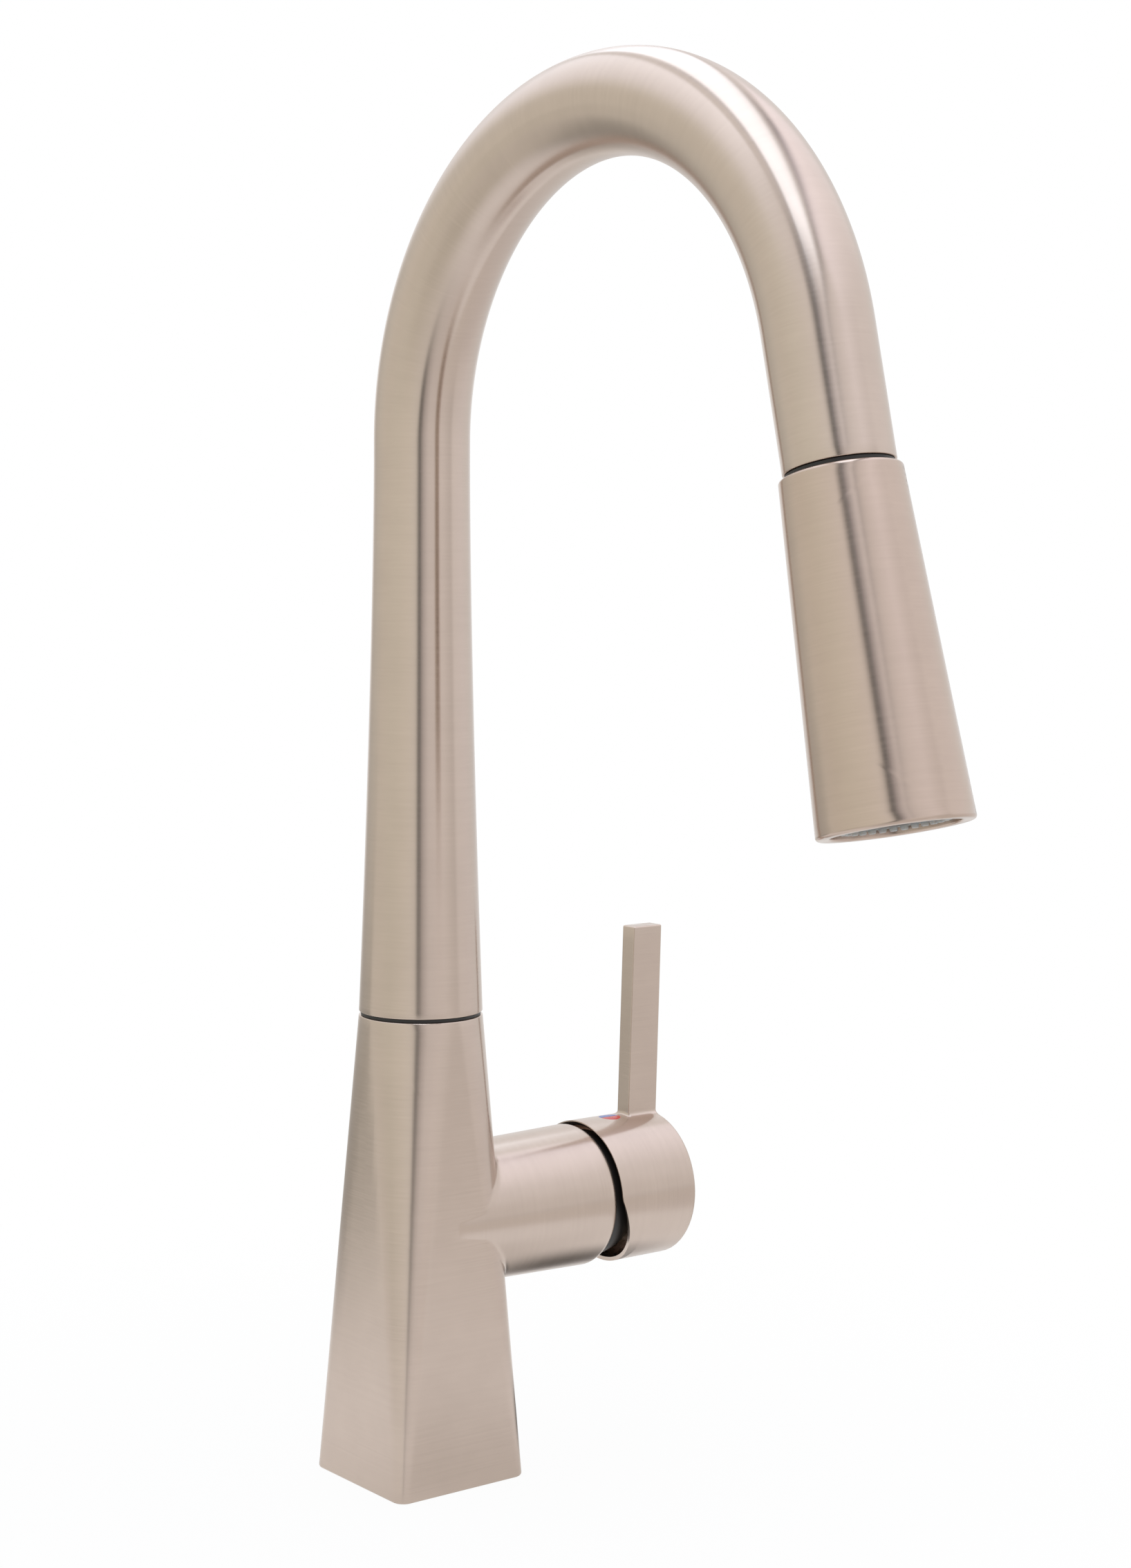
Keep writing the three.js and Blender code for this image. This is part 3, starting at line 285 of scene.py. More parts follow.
def along_x(points, height):
    """Turned points laid over, so that their axis is +X at a height above the deck."""
    x, y, z = np.moveaxis(points, -1, 0)
    return np.stack([z, y, height - x], -1)


# %% [markdown]
# ## Satin brushed nickel
#
# Brushed nickel is a warm grey metal with fine lines round each form. The lines are far thinner
# than a hair, so they show as a texture only close up; from further off they make reflections
# smear along the axis and stay crisp round it. That is anisotropic gloss: the tangent comes from
# the UV map's U direction, which runs along each piece. A fine stretched noise gives the lines
# themselves, as a little bump and a little change of roughness, and a slow noise gives the faint
# cloudiness that polishing leaves.

# %% Node helpers and the brushed nickel
NICKEL = (0.59, 0.492, 0.43)
HEAD_NICKEL = (0.568, 0.458, 0.392)


def new_material(name):
    """An empty node material with its Principled shader and output."""
    material = bpy.data.materials.new(name)
    material.use_nodes = True
    nodes = material.node_tree.nodes
    nodes.clear()
    shader = nodes.new("ShaderNodeBsdfPrincipled")
    output = nodes.new("ShaderNodeOutputMaterial")
    material.node_tree.links.new(shader.outputs["BSDF"], output.inputs["Surface"])
    return material, shader


def plug(owner, socket, value):
    """Links an output to a socket, or sets the socket to a plain value."""
    if isinstance(value, bpy.types.NodeSocket):
        owner.node_tree.links.new(value, socket)
    else:
        socket.default_value = value


def node(owner, kind, *values, **settings):
    """A new node. Values go to its inputs in their order. A setting is one of the node's own
    properties or, by name, another input."""
    made = owner.node_tree.nodes.new("ShaderNode" + kind)
    for name, value in settings.items():
        if hasattr(made, name):
            setattr(made, name, value)
        else:
            plug(owner, made.inputs[name], value)
    for socket, value in zip(made.inputs, values):
        plug(owner, socket, value)
    return made


def math(owner, operation, *values):
    """A math node on values or outputs."""
    return node(owner, "Math", *values, operation=operation).outputs[0]


def mapped(owner, value, ends, **settings):
    """A value carried over to another range; ends name its limits, such as From Min or To Max."""
    return node(owner, "MapRange", value, **settings, **ends).outputs["Result"]


def noise(owner, where, scale, detail, **settings):
    """A noise between 0 and 1 that depends on a place."""
    return node(owner, "TexNoise", Vector=where, Scale=scale, Detail=detail, **settings).outputs["Fac"]


def shades(colour, darker, lighter):
    """Two tones of a colour, darker and lighter by shares of it."""
    return tuple(c * (1 - darker) for c in colour), tuple(min(c * (1 + lighter), 1) for c in colour)


def finish(material, shader, tone, gloss, lift, **sockets):
    """Wires up a finish. tone is a share and the two colours that it blends, gloss is a share and
    the roughness at 0 and at 1, and lift is a height, its strength and its depth in metres."""
    share, dark, light = tone
    mix = node(material, "Mix", data_type="RGBA", Factor=share, A=(*dark, 1), B=(*light, 1))
    plug(material, shader.inputs["Base Color"], mix.outputs["Result"])
    share, low, high = gloss
    plug(material, shader.inputs["Roughness"], mapped(material, share, {"To Min": low, "To Max": high}))
    height, strength, depth = lift
    bump = node(material, "Bump", Height=height, Strength=strength, Distance=depth)
    plug(material, shader.inputs["Normal"], bump.outputs["Normal"])
    for name, value in sockets.items():
        plug(material, shader.inputs[name.replace("_", " ")], value)
    return material


def brushed_metal(name, colour, line_width=0.3 * MM, roughness=0.23, cloud=0.035):
    """A metal brushed round its form. Lines come from two noises whose UV coordinates are squeezed
    along the piece to a line width and stretched many times as long round it: fine lines, and
    broader, fainter ones. Clouds some millimetres wide lie under them."""
    material, shader = new_material(name)
    where = node(material, "UVMap", uv_map="UVMap").outputs["UV"]

    def streaks(width, length, detail):
        squeezed = node(material, "Mapping", Vector=where, Scale=(1 / width, 1 / length, 1))
        return noise(material, squeezed.outputs["Vector"], 1.0, detail, Roughness=0.65)

    fine = streaks(line_width, 45 * line_width, 3.0)
    broad = streaks(5 * line_width, 120 * line_width, 1.0)
    clouds = noise(material, node(material, "TexCoord").outputs["Object"], 90.0, 3.0)
    lined = math(material, "MULTIPLY_ADD", fine, 1.1, clouds)
    share = mapped(material, math(material, "MULTIPLY_ADD", broad, 0.6, lined),
                   {"From Min": 0.95, "From Max": 1.75})
    tangent = node(material, "Tangent", direction_type="UV_MAP", uv_map="UVMap")
    return finish(material, shader, (share, *shades(colour, cloud, cloud)),
                  (fine, roughness * 0.75, roughness * 1.25), (fine, 0.3, 0.012 * MM),
                  Metallic=1, Anisotropic=0.85, Tangent=tangent.outputs["Tangent"])


finishes["satin_nickel"] = brushed_metal("satin_nickel", NICKEL)
head_nickel = brushed_metal("head_nickel", HEAD_NICKEL)
print("brushed:", ", ".join(material.name for material in bpy.data.materials))

# %% [markdown]
# ## Plastics, rubber and the small parts' finishes
#
# Moulded plastic has a fine grain from its mould, so its gloss breaks up at close range. Each of
# these finishes is one Principled shader whose roughness and bump come from a small noise on
# Object coordinates, which stay put on the piece when it moves.


# %% Moulded finishes
def moulded(name, colour, roughness, grain=0.4, bump=0.25, variation=0.08, **sockets):
    """A moulded surface: colour and roughness vary a little with a noise of the grain's size in
    millimetres, which also gives a shallow bump."""
    material, shader = new_material(name)
    place = node(material, "TexCoord").outputs["Object"]
    fine = noise(material, place, 1 / (grain * MM), 3.0)
    return finish(material, shader,
                  (noise(material, place, 40.0, 2.0), *shades(colour, variation, variation)),
                  (fine, roughness * 0.85, roughness * 1.15), (fine, bump, 0.05 * MM), **sockets)


for name, colour, roughness, special in (
        ("black_plastic", (0.016, 0.014, 0.013), 0.42, {}),
        ("white_plastic", (0.78, 0.76, 0.71), 0.45, {}),
        ("grey_plastic", (0.23, 0.205, 0.185), 0.5, {}),
        ("rubber", (0.02, 0.02, 0.02), 0.75, {"grain": 0.8}),
        ("ceramic", (0.86, 0.84, 0.8), 0.16, {"bump": 0.05, "variation": 0.02}),
        ("silicone", (0.43, 0.41, 0.375), 0.38, {"grain": 0.3, "Subsurface_Weight": 0.25}),
        ("magnet", (0.075, 0.075, 0.08), 0.5, {}),
        ("index_red", (0.72, 0.035, 0.03), 0.28, {"bump": 0.05, "variation": 0.04}),
        ("index_blue", (0.09, 0.16, 0.5), 0.28, {"bump": 0.05, "variation": 0.04})):
    finishes[name] = moulded(name, colour, roughness, **special)
print("moulded:", ", ".join(finishes))

# %% [markdown]
# Turned brass and steel show fine tool marks. The nodes that stay as CAD solids have no UV map, so
# these metals read Object coordinates instead, squeezed along Z for the turned pieces.


# %% Turned metals
def machined(name, colour, roughness):
    """A turned metal: a noise squeezed along Z gives tool marks in roughness and bump."""
    material, shader = new_material(name)
    place = node(material, "TexCoord").outputs["Object"]
    squeezed = node(material, "Mapping", Vector=place, Scale=(60, 60, 3500)).outputs["Vector"]
    marks = noise(material, squeezed, 1.0, 2.0)
    return finish(material, shader, (noise(material, place, 70.0, 3.0), *shades(colour, 0.14, 0.08)),
                  (marks, roughness * 0.8, roughness * 1.2), (marks, 0.3, 0.02 * MM), Metallic=1)


finishes["brass"] = machined("brass", (0.72, 0.53, 0.26), 0.3)
finishes["stainless_steel"] = machined("stainless_steel", (0.56, 0.55, 0.54), 0.28)


# %% [markdown]
# ## The body's surface
#
# The body is a square foot that turns into a circle: at every height its section is a square with
# rounded corners, and both the half width and the corner radius change evenly with height. Its
# flats therefore narrow to nothing at the top while its corners open out into cones.
#
# The section is written as a function of one share that runs once round, so the whole side is a
# function of two parameters, share and height.

# %% The section of the body
body_low, body_high = reach("faucet_body")
ring_low, ring_high = reach("swivel_ring")
valve_at, _ = joint("lever_temperature")
VALVE_HEIGHT = valve_at[2]
BODY_HEIGHT = body_high[2]
FOOT_HALF = -body_low[0]
FOOT_CORNER, FOOT_EDGE = 4.0, 0.8
JOINT_RADIUS = 18.78
CROWN_EDGE = 0.35


def body_half(height):
    return FOOT_HALF + (JOINT_RADIUS - FOOT_HALF) * height / BODY_HEIGHT


def body_corner(height):
    return FOOT_CORNER + (JOINT_RADIUS - FOOT_CORNER) * height / BODY_HEIGHT


def weights(half, corner):
    """Half the width of a flat, and how a rounded square's share is weighted: the distance that a
    whole share stands for, and the part of it that each quarter turn takes up."""
    flat = half - corner
    around_half = 4 * flat + PI * corner
    return flat, around_half, PI * corner / 2 / around_half + 0.5


def section(share, half, corner):
    """A square with rounded corners. share runs from -1 to 1 once round from the middle of the -X
    side, through the middle of the +X side at 0. Half of each share measures distance and half
    measures turning, so points crowd together at tight corners. From 0 on come half a flat, a
    quarter circle, a flat, a quarter circle and half a flat; negative shares are mirrored in Y."""
    flat, around_half, quarter = weights(half, corner)
    side = (2 - 2 * quarter) / 4
    gone = np.abs(share) * 2
    first_turn = np.clip((gone - side) / quarter, 0, 1) * PI / 2
    middle = np.clip(gone - side - quarter, 0, 2 * side) * around_half
    second_turn = np.clip((gone - 3 * side - quarter) / quarter, 0, 1) * PI / 2
    last = np.clip(gone - 3 * side - 2 * quarter, 0, side) * around_half
    x = flat + corner * np.cos(first_turn) - middle - corner * np.sin(second_turn)
    y = np.clip(gone, 0, side) * around_half + corner * np.sin(first_turn)
    y = y - corner * (1 - np.cos(second_turn)) - last
    return x, np.sign(share) * y


def body_side(share, height):
    """A point on the body's side: the section's point at that share and height."""
    x, y = section(share, body_half(height), body_corner(height))
    return np.stack([x, y, height], -1)


print("body", BODY_HEIGHT, "mm high on a foot", 2 * FOOT_HALF, "mm across")


# %% [markdown]
# ## The valve boss grows out of the side
#
# The boss is as wide as the body, so it starts flush with the front and back faces and stands out
# on the right. To make one skin of both, each line of the boss is followed inwards until it meets
# the body, which gives a closed loop on the body's side. From that loop, straight lines on the
# body's own (share, height) sheet run out to the sheet's border: its two rims and the line down
# the back where the sheet closes. A grid made this way has no seam at the boss, and relaxing its
# rows near the loop rounds the corner between the two forms.

# %% Where the boss meets the body
BOSS_ROOT_X, BOSS_ROOT_RADIUS = 24.0, 21.6
BOSS_X, BOSS_RADIUS = 57.3, 22.4
SHOULDER_RADIUS, SHOULDER_TURN = 3.6, np.radians(48)
BOSS_END_X = BOSS_X + SHOULDER_RADIUS * np.sin(SHOULDER_TURN)
MOUTH_RADIUS = 19.2
MOUTH_X = 48.0
BORE_RADIUS = 17.7
SEAT_X = 24.0


def boss_radius(x):
    growth = (BOSS_RADIUS - BOSS_ROOT_RADIUS) * (x - BOSS_ROOT_X) / (BOSS_X - BOSS_ROOT_X)
    return BOSS_ROOT_RADIUS + growth


def boss_point(x, radius, angle):
    """A point at a radius and angle round the valve's axis; the angle is 0 towards +Y and a quarter
    turn is straight up."""
    return np.stack(np.broadcast_arrays(
        x, radius * np.cos(angle), VALVE_HEIGHT + radius * np.sin(angle)), -1)


def outside_body(point):
    """How far a point is outside the body's section at its own height, negative inside."""
    x, y, z = np.moveaxis(point, -1, 0)
    flat, corner = body_half(z) - body_corner(z), body_corner(z)
    past_x, past_y = np.abs(x) - flat, np.abs(y) - flat
    both = np.hypot(np.maximum(past_x, 0), np.maximum(past_y, 0))
    return both + np.minimum(np.maximum(past_x, past_y), 0) - corner


def body_share(point):
    """The share at which a point lies on the section through it: the distance and the turn gone
    from the middle of the +X side, weighted as the section weighs them."""
    x, y, z = np.moveaxis(point, -1, 0)
    flat, around_half, quarter = weights(body_half(z), body_corner(z))
    turn = np.clip(np.arctan2(np.abs(y) - flat, x - flat), 0, PI / 2)
    gone = np.clip(np.abs(y), 0, flat) / around_half + quarter * turn / (PI / 2)
    gone = gone + np.clip(flat - x, 0, 2 * flat) / around_half
    return np.sign(y) * gone / 2


def boss_meets_body(angle):
    """X where each line along the boss meets the body, by halving an interval thirty times."""
    low, high = np.zeros_like(angle), np.full_like(angle, BOSS_ROOT_X + 4)
    for _ in range(30):
        middle = (low + high) / 2
        inside = outside_body(boss_point(middle, boss_radius(middle), angle)) < 0
        low, high = np.where(inside, middle, low), np.where(inside, high, middle)
    return (low + high) / 2


print("the boss ends at X", round(BOSS_END_X, 2), "mm")


# %% [markdown]
# The border of the sheet decides the columns: as many along the top rim as along the bottom rim,
# and the same spacing down both edges of the back line, so that they meet point for point. Each
# column's angle on the boss is the direction in which its border point lies.

# %% Columns and rows of the body's skin
RIM_COLUMNS, BACK_COLUMNS = 132, 92
SHEET_LOW, SHEET_HIGH = FOOT_EDGE, BODY_HEIGHT - CROWN_EDGE
SHEET_SCALE = 76.0  # half of the way round, in millimetres
FINE_ROWS, FINE_STEP = 14, 0.3  # rows of even spacing on either side of the loop
NEAR_LOOP = 4.0


def sheet_border(edge, low, high, sides, rims):
    """Points (across, along) round the border of a sheet: along its edge at +edge from low to high,
    back over the high rim, along its other edge and out again over the low rim."""
    along = np.linspace(low, high, sides + 1)[:-1]
    across = np.linspace(edge, -edge, rims + 1)[:-1]
    return np.concatenate([
        np.stack([np.full_like(along, edge), along], -1),
        np.stack([across, np.full_like(across, high)], -1),
        np.stack([np.full_like(along, -edge), low + high - along], -1),
        np.stack([-across, np.full_like(across, low)], -1)])


def ease_out(count, strength):
    """Shares from 0 to 1 whose steps grow evenly from small to large."""
    t = np.linspace(0, 1, count + 1)[1:]
    return (np.exp(strength * t) - 1) / (np.exp(strength) - 1)


def rows_out(hole, border, first, count, strength):
    """Rows of a sheet on straight lines from a hole's outline to the border: the first rows at
    given shares of the way, and then more rows whose steps grow."""
    rest = first[-1] + ease_out(count, strength)[:, None] * (1 - first[-1])
    return hole + (border - hole) * np.concatenate([first, rest])[..., None]


def relax_rows(grid, seam, spread_rows, rounds):
    """Rounds the corner along one row of a grid. Each round moves every point part of the way to
    the middle between its neighbours in the rows before and after, fully at the seam and less
    and less up to spread_rows away from it."""
    row = np.arange(len(grid))
    pull = 0.9 * np.clip(1 - np.abs(row - seam) / spread_rows, 0, 1)[1:-1, None, None]
    for _ in range(rounds):
        grid[1:-1] += pull * ((grid[:-2] + grid[2:]) / 2 - grid[1:-1])
    return grid


def body_skin():
    """The outside of the body and boss as two grids that share the loop: the boss from its shoulder
    inwards, and the body's sheet from the loop out to its border. Brush lines run round each."""
    border = sheet_border(1.0, SHEET_LOW, SHEET_HIGH, BACK_COLUMNS, RIM_COLUMNS)
    angle = np.arctan2(border[:, 1] - VALVE_HEIGHT, border[:, 0] * SHEET_SCALE)
    meet = boss_meets_body(angle)
    near = np.linspace(0, NEAR_LOOP, FINE_ROWS + 1)[:-1, None] + 0 * meet
    far = NEAR_LOOP + ease_out(34, 1.2)[:, None] * (BOSS_X - meet - NEAR_LOOP)
    x = meet + np.concatenate([near, far])[::-1]
    boss = boss_point(x, boss_radius(x), angle)
    loop = boss[-1]
    hole = np.stack([body_share(loop), loop[:, 2]], -1)
    way = np.linalg.norm((border - hole) * [SHEET_SCALE, 1], axis=1)
    first = np.arange(1, FINE_ROWS + 1)[:, None] * FINE_STEP / way
    sheet = rows_out(hole, border, first, 52, 2.2)
    seam = len(boss) - 1
    grid = np.concatenate([boss, body_side(sheet[..., 0], sheet[..., 1])])
    grid = relax_rows(grid, seam, spread_rows=9, rounds=26)
    boss_uv = stated_uv(x, angle * BOSS_RADIUS + 0 * x, 2 * PI * BOSS_RADIUS)
    sheet = np.concatenate([hole[None], sheet])
    side_uv = stated_uv(sheet[..., 1], sheet[..., 0] * SHEET_SCALE, 2 * SHEET_SCALE)
    return (grid[:seam + 1], True, boss_uv), (grid[seam:], True, side_uv), angle


boss_skin, side_skin, boss_angle = body_skin()
print("skin of the boss:", boss_skin[0].shape[:2], "and of the body:", side_skin[0].shape[:2], "points")

# %% [markdown]
# The skin is closed with what lies behind it: the boss's rounded shoulder, the mouth and the pocket
# of the cartridge on one side, and on the other the foot's rounded edge, the recess for the deck
# gasket, the bore and the top face that the black ring lies on.

# %% Close the body
SHOULDER_STEPS = 10
SHANK_HOLE = 16.6
SPIGOT_HOLE = 13.3
SPIGOT_SEAT = 12.0  # depth of the spigot's hole
GASKET_INSET, GASKET_RECESS = 3.0, 3.0


def boss_mouth(angle):
    """Rows from the pocket's floor out to the shoulder: the bore, the step, the mouth, the end
    face and the shoulder's round."""
    turn = np.linspace(SHOULDER_TURN, 0, SHOULDER_STEPS + 1)
    shoulder_r = BOSS_RADIUS - SHOULDER_RADIUS * (1 - np.cos(turn))
    inner = rounded_profile([
        (0, SEAT_X, 0), (BORE_RADIUS, SEAT_X, 0.2), (BORE_RADIUS, MOUTH_X, 0), (MOUTH_RADIUS, MOUTH_X, 0),
        (MOUTH_RADIUS, BOSS_END_X, 0.15), (shoulder_r[0], BOSS_END_X, 0)])
    radius = np.concatenate([inner[:-1, 0], shoulder_r])
    x = np.concatenate([inner[:-1, 1], BOSS_X + SHOULDER_RADIUS * np.sin(turn)])
    return boss_point(x[:, None], radius[:, None], angle)


def body_inside():
    """Rows from the top rim inwards, down the bore and out again under the foot to its rounded
    edge. Between the outline of the body and a round hole, a row is a blend of the two."""
    share = np.linspace(1, -1, RIM_COLUMNS + 1)[:-1]

    def outline(inset, height, outline_height):
        """The body's outline at one height, made smaller and laid at another height."""
        corner = np.maximum(body_corner(outline_height) - inset, 0.4)
        x, y = section(share, body_half(outline_height) - inset, corner)
        return np.stack([x, y, np.full_like(x, height)], -1)

    turn = np.linspace(0, PI / 2, 6)
    top = [outline(CROWN_EDGE * (1 - np.cos(t)), SHEET_HIGH + CROWN_EDGE * np.sin(t), SHEET_HIGH)
           for t in turn]
    bore = [polar(radius, share * PI, height) for radius, height in (
        (SPIGOT_HOLE, BODY_HEIGHT), (SPIGOT_HOLE, BODY_HEIGHT - SPIGOT_SEAT),
        (SHANK_HOLE, BODY_HEIGHT - SPIGOT_SEAT - 1), (SHANK_HOLE, GASKET_RECESS))]
    foot = [outline(GASKET_INSET, height, 0) for height in (GASKET_RECESS, 0)]
    edge = [outline(FOOT_EDGE * (1 - np.sin(t)), FOOT_EDGE * (1 - np.cos(t)), FOOT_EDGE)
            for t in turn]
    return np.stack([*top, *bore, *foot, *edge])


piece("body_casting", [boss_skin, side_skin, (boss_mouth(boss_angle), True), (body_inside(), True)],
      "root", "satin_nickel", "faucet_body")

# %% [markdown]
# ## The black ring under the spout
#
# A thin plastic ring lies between the body and the swivelling spout. It is set back a little from
# both, so it reads as a fine black line with a soft gleam on its rounded rim.

# %% The swivel ring
RING_BORE = 14.3
ring_profile = rounded_profile([
    (RING_BORE, ring_low[2], 0), (ring_high[0], ring_low[2], 0.25), (ring_high[0], ring_high[2], 0.25),
    (RING_BORE, ring_high[2], 0), (RING_BORE, ring_low[2], 0)])
piece("swivel_ring_fine", [(turned(ring_profile, 192), True)], "root", "black_plastic", "swivel_ring")

# %% [markdown]
# ## The gooseneck
#
# The spout is one drawn tube. Its centre line runs straight up, through a quarter circle, through
# a slightly tighter falling arc and down a short straight leg that leans back by the tilt of the
# spray head. The path is a list of stations, each with its place and its direction as an angle
# from straight up; the tube is a ring of points round every station. The lower part of the riser
# flares out to the width of the body.

# %% Stations along the spout
TUBE_RADIUS, TUBE_WALL = 14.37, 1.6
TAPER_TOP, TAPER_POWER = 308.55, 1.49
ARC_START = 314.75
RISE_RADIUS, FALL_RADIUS = 88.26, 85.85
LEG_LENGTH = 35.8
_, head_axis = joint("head_pull")
TILT = np.arctan2(-head_axis[1], -head_axis[2])
crown_y, crown_z = -RISE_RADIUS, ARC_START + RISE_RADIUS


def spout_stations():
    """Places (y, z), directions and radii along the centre line."""
    riser = np.linspace(ring_high[2], ARC_START, 90)
    down = np.clip((TAPER_TOP - riser) / (TAPER_TOP - BODY_HEIGHT), 0, 1)
    flare = TUBE_RADIUS + (JOINT_RADIUS - TUBE_RADIUS) * down ** TAPER_POWER
    rise = np.linspace(0, PI / 2, 80)[1:]
    fall = np.linspace(0, PI / 2 - TILT, 70)[1:]
    leg = np.linspace(0, LEG_LENGTH, 14)[1:]
    last = crown_y - FALL_RADIUS * np.cos(TILT), crown_z - FALL_RADIUS * (1 - np.sin(TILT))
    y = np.concatenate([0 * riser, -RISE_RADIUS * (1 - np.cos(rise)),
                        crown_y - FALL_RADIUS * np.sin(fall), last[0] - leg * np.sin(TILT)])
    z = np.concatenate([riser, ARC_START + RISE_RADIUS * np.sin(rise),
                        crown_z - FALL_RADIUS * (1 - np.cos(fall)), last[1] - leg * np.cos(TILT)])
    turn = np.concatenate([0 * riser, rise, PI / 2 + fall, np.full_like(leg, PI - TILT)])
    radius = np.concatenate([flare, np.full(len(z) - len(riser), TUBE_RADIUS)])
    return y, z, turn, radius


def rings_along(y, z, turn, radius, columns):
    """A ring round each station. X and the normal (0, -cos turn, -sin turn) span its plane."""
    angle = round_turn(columns)
    out_x, out_n = radius[:, None] * np.cos(angle), radius[:, None] * np.sin(angle)
    turn = turn[:, None]
    return np.stack([out_x, y[:, None] - out_n * np.cos(turn), z[:, None] - out_n * np.sin(turn)], -1)


stations = np.stack(spout_stations())
leg_end = np.array([0, *stations[:2, -1]])
print("the spout ends at", leg_end.round(1), "and its crown is at", round(crown_z + TUBE_RADIUS, 1))


# %% [markdown]
# The tube's ends are turned square, with a small round on their outer and inner edges. The inside
# is the same path again with the wall's thickness taken off, so the opening at the end of the leg
# is a real hollow round the docking ring.

# %% The spout tube
TUBE_COLUMNS = 160
END_ROUND = 0.3
DOCK_DEPTH = 16.0


def tube_end(station, outward, steps=5):
    """Stations that round off a tube's end: the radius shrinks and the place moves outwards on a
    quarter circle, then the end face runs in to the bore."""
    y, z, turn, radius = station
    t = np.linspace(0, PI / 2, steps)
    slide = np.append(outward * (END_ROUND * np.sin(t) - END_ROUND), 0.0)
    radii = np.append(radius - END_ROUND * (1 - np.cos(t)), radius - TUBE_WALL)
    return np.stack([y - slide * np.sin(turn), z + slide * np.cos(turn), np.full_like(radii, turn), radii])


def spout_tube():
    """The outside up from the foot, round the tip and back down the inside to the foot."""
    foot, tip = tube_end(stations[:, 0], -1), tube_end(stations[:, -1], 1)
    inside = stations[:, -2:0:-6] - [[0], [0], [0], [TUBE_WALL]]
    return rings_along(*np.concatenate(
        [foot[:, ::-1], stations[:, 1:-1], tip, inside, foot[:, -1:]], 1), TUBE_COLUMNS)


piece("gooseneck", [(spout_tube(), True)], "spout", "satin_nickel", "spout_tube")

# %% [markdown]
# ## Down the spray head's own axis
#
# The head, its docking ring and everything in its face are turned forms on an axis that leans by
# the tilt. They are worked out upright, with height 0 at the end of the spout and +Z back up the
# leg, and then leaned and moved to that end in one step.


# %% Place a form on the head's axis
def on_head(points):
    """Upright points leaned about X by the tilt and moved to the end of the spout."""
    x, y, z = np.moveaxis(points, -1, 0)
    lean_y = y * np.cos(TILT) + z * np.sin(TILT)
    lean_z = z * np.cos(TILT) - y * np.sin(TILT)
    return np.stack([x, lean_y, lean_z], -1) + leg_end


def turned_on_head(name, corners, columns, body, slot, *nodes):
    """A turned piece on the head's axis, from the rounded corners of its profile."""
    points = on_head(turned(rounded_profile(corners), columns))
    piece(name, [(points, True)], body, slot, *nodes)


# %% The docking ring
DOCK_RING, DOCK_BORE = 1.28, 9.2
RING_INSET = 0.55  # how far the visible ring lies back from the tube
dock_wall = TUBE_RADIUS - TUBE_WALL - 0.3
turned_on_head("docking_ring", [
    (DOCK_BORE, DOCK_DEPTH, 0), (dock_wall, DOCK_DEPTH, 0.3), (dock_wall, -0.1, 0),
    (TUBE_RADIUS - RING_INSET, -0.1, 0.15), (TUBE_RADIUS - RING_INSET, 0.12 - DOCK_RING, 0.2),
    (DOCK_BORE, 0.12 - DOCK_RING, 0.4), (DOCK_BORE, DOCK_DEPTH, 0)],
    128, "spout", "black_plastic", "dock_insert")

# %% [markdown]
# ## The spray head's shell
#
# The shell is a long cone with a rounded top rim and a rolled lip round the spray face. Its rear
# side has a slot for the button that changes the spray. As on the body, the slot is a hole in the
# sheet of the cone's side, and the grid runs from the slot's outline out to the sheet's border.

# %% Sizes of the head
HEAD_TOP_RADIUS, HEAD_RADIUS, HEAD_LENGTH = 15.63, 19.86, 89.5
HEAD_EDGE, LIP_ROUND = 0.9, 0.9
LIP_WIDTH, FACE_RECESS, FACE_THICK = 3.5, 1.8, 3.4
BUTTON_DEPTH, BUTTON_WIDTH, BUTTON_LENGTH = 36.0, 11.0, 26.0
BUTTON_PROUD, BUTTON_THICK, BUTTON_GAP = 1.2, 4.0, 0.3
COLLAR_HOLE = 9.3
HEAD_WALL, HEAD_ROOF = 1.6, 3.2
head_top = -DOCK_RING
head_end = head_top - HEAD_LENGTH
button_z = head_top - BUTTON_DEPTH
face_z = head_end + FACE_RECESS
lip_bore = HEAD_RADIUS - LIP_WIDTH
plate_top = face_z + FACE_THICK
head_roof = head_top - HEAD_ROOF


def head_radius(height):
    return HEAD_TOP_RADIUS + (HEAD_RADIUS - HEAD_TOP_RADIUS) * (head_top - height) / HEAD_LENGTH


def slot_outline(width, length, share):
    """A slot with round ends, standing on end. share runs from 0 to 1 round it from its right
    side, by distance: half a side, a half circle, a side, a half circle, half a side."""
    radius, straight = width / 2, length / 2 - width / 2
    total = 2 * PI * radius + 4 * straight
    gone = share * total
    turn = np.clip((gone - straight) / radius, 0, PI) + np.clip(
        (gone - 3 * straight - PI * radius) / radius, 0, PI)
    up = np.clip(gone, 0, straight) - np.clip(gone - straight - PI * radius, 0, 2 * straight)
    up = up + np.clip(gone - 3 * straight - 2 * PI * radius, 0, straight)
    return radius * np.cos(turn), up + radius * np.sin(turn)


print("the head's cone is", round(float(head_radius(button_z)), 2), "mm in radius at the button")


# %% The shell with its slot
HEAD_RIM_COLUMNS, HEAD_BACK_COLUMNS = 128, 56
HEAD_SHEET_LOW, HEAD_SHEET_HIGH = head_end + LIP_ROUND, head_top - HEAD_EDGE


def round_head(radius, angle, height):
    """A point round the head's axis: the angle is 0 towards the rear, +Y, and grows towards -X."""
    return np.stack(np.broadcast_arrays(-radius * np.sin(angle), radius * np.cos(angle), height), -1)


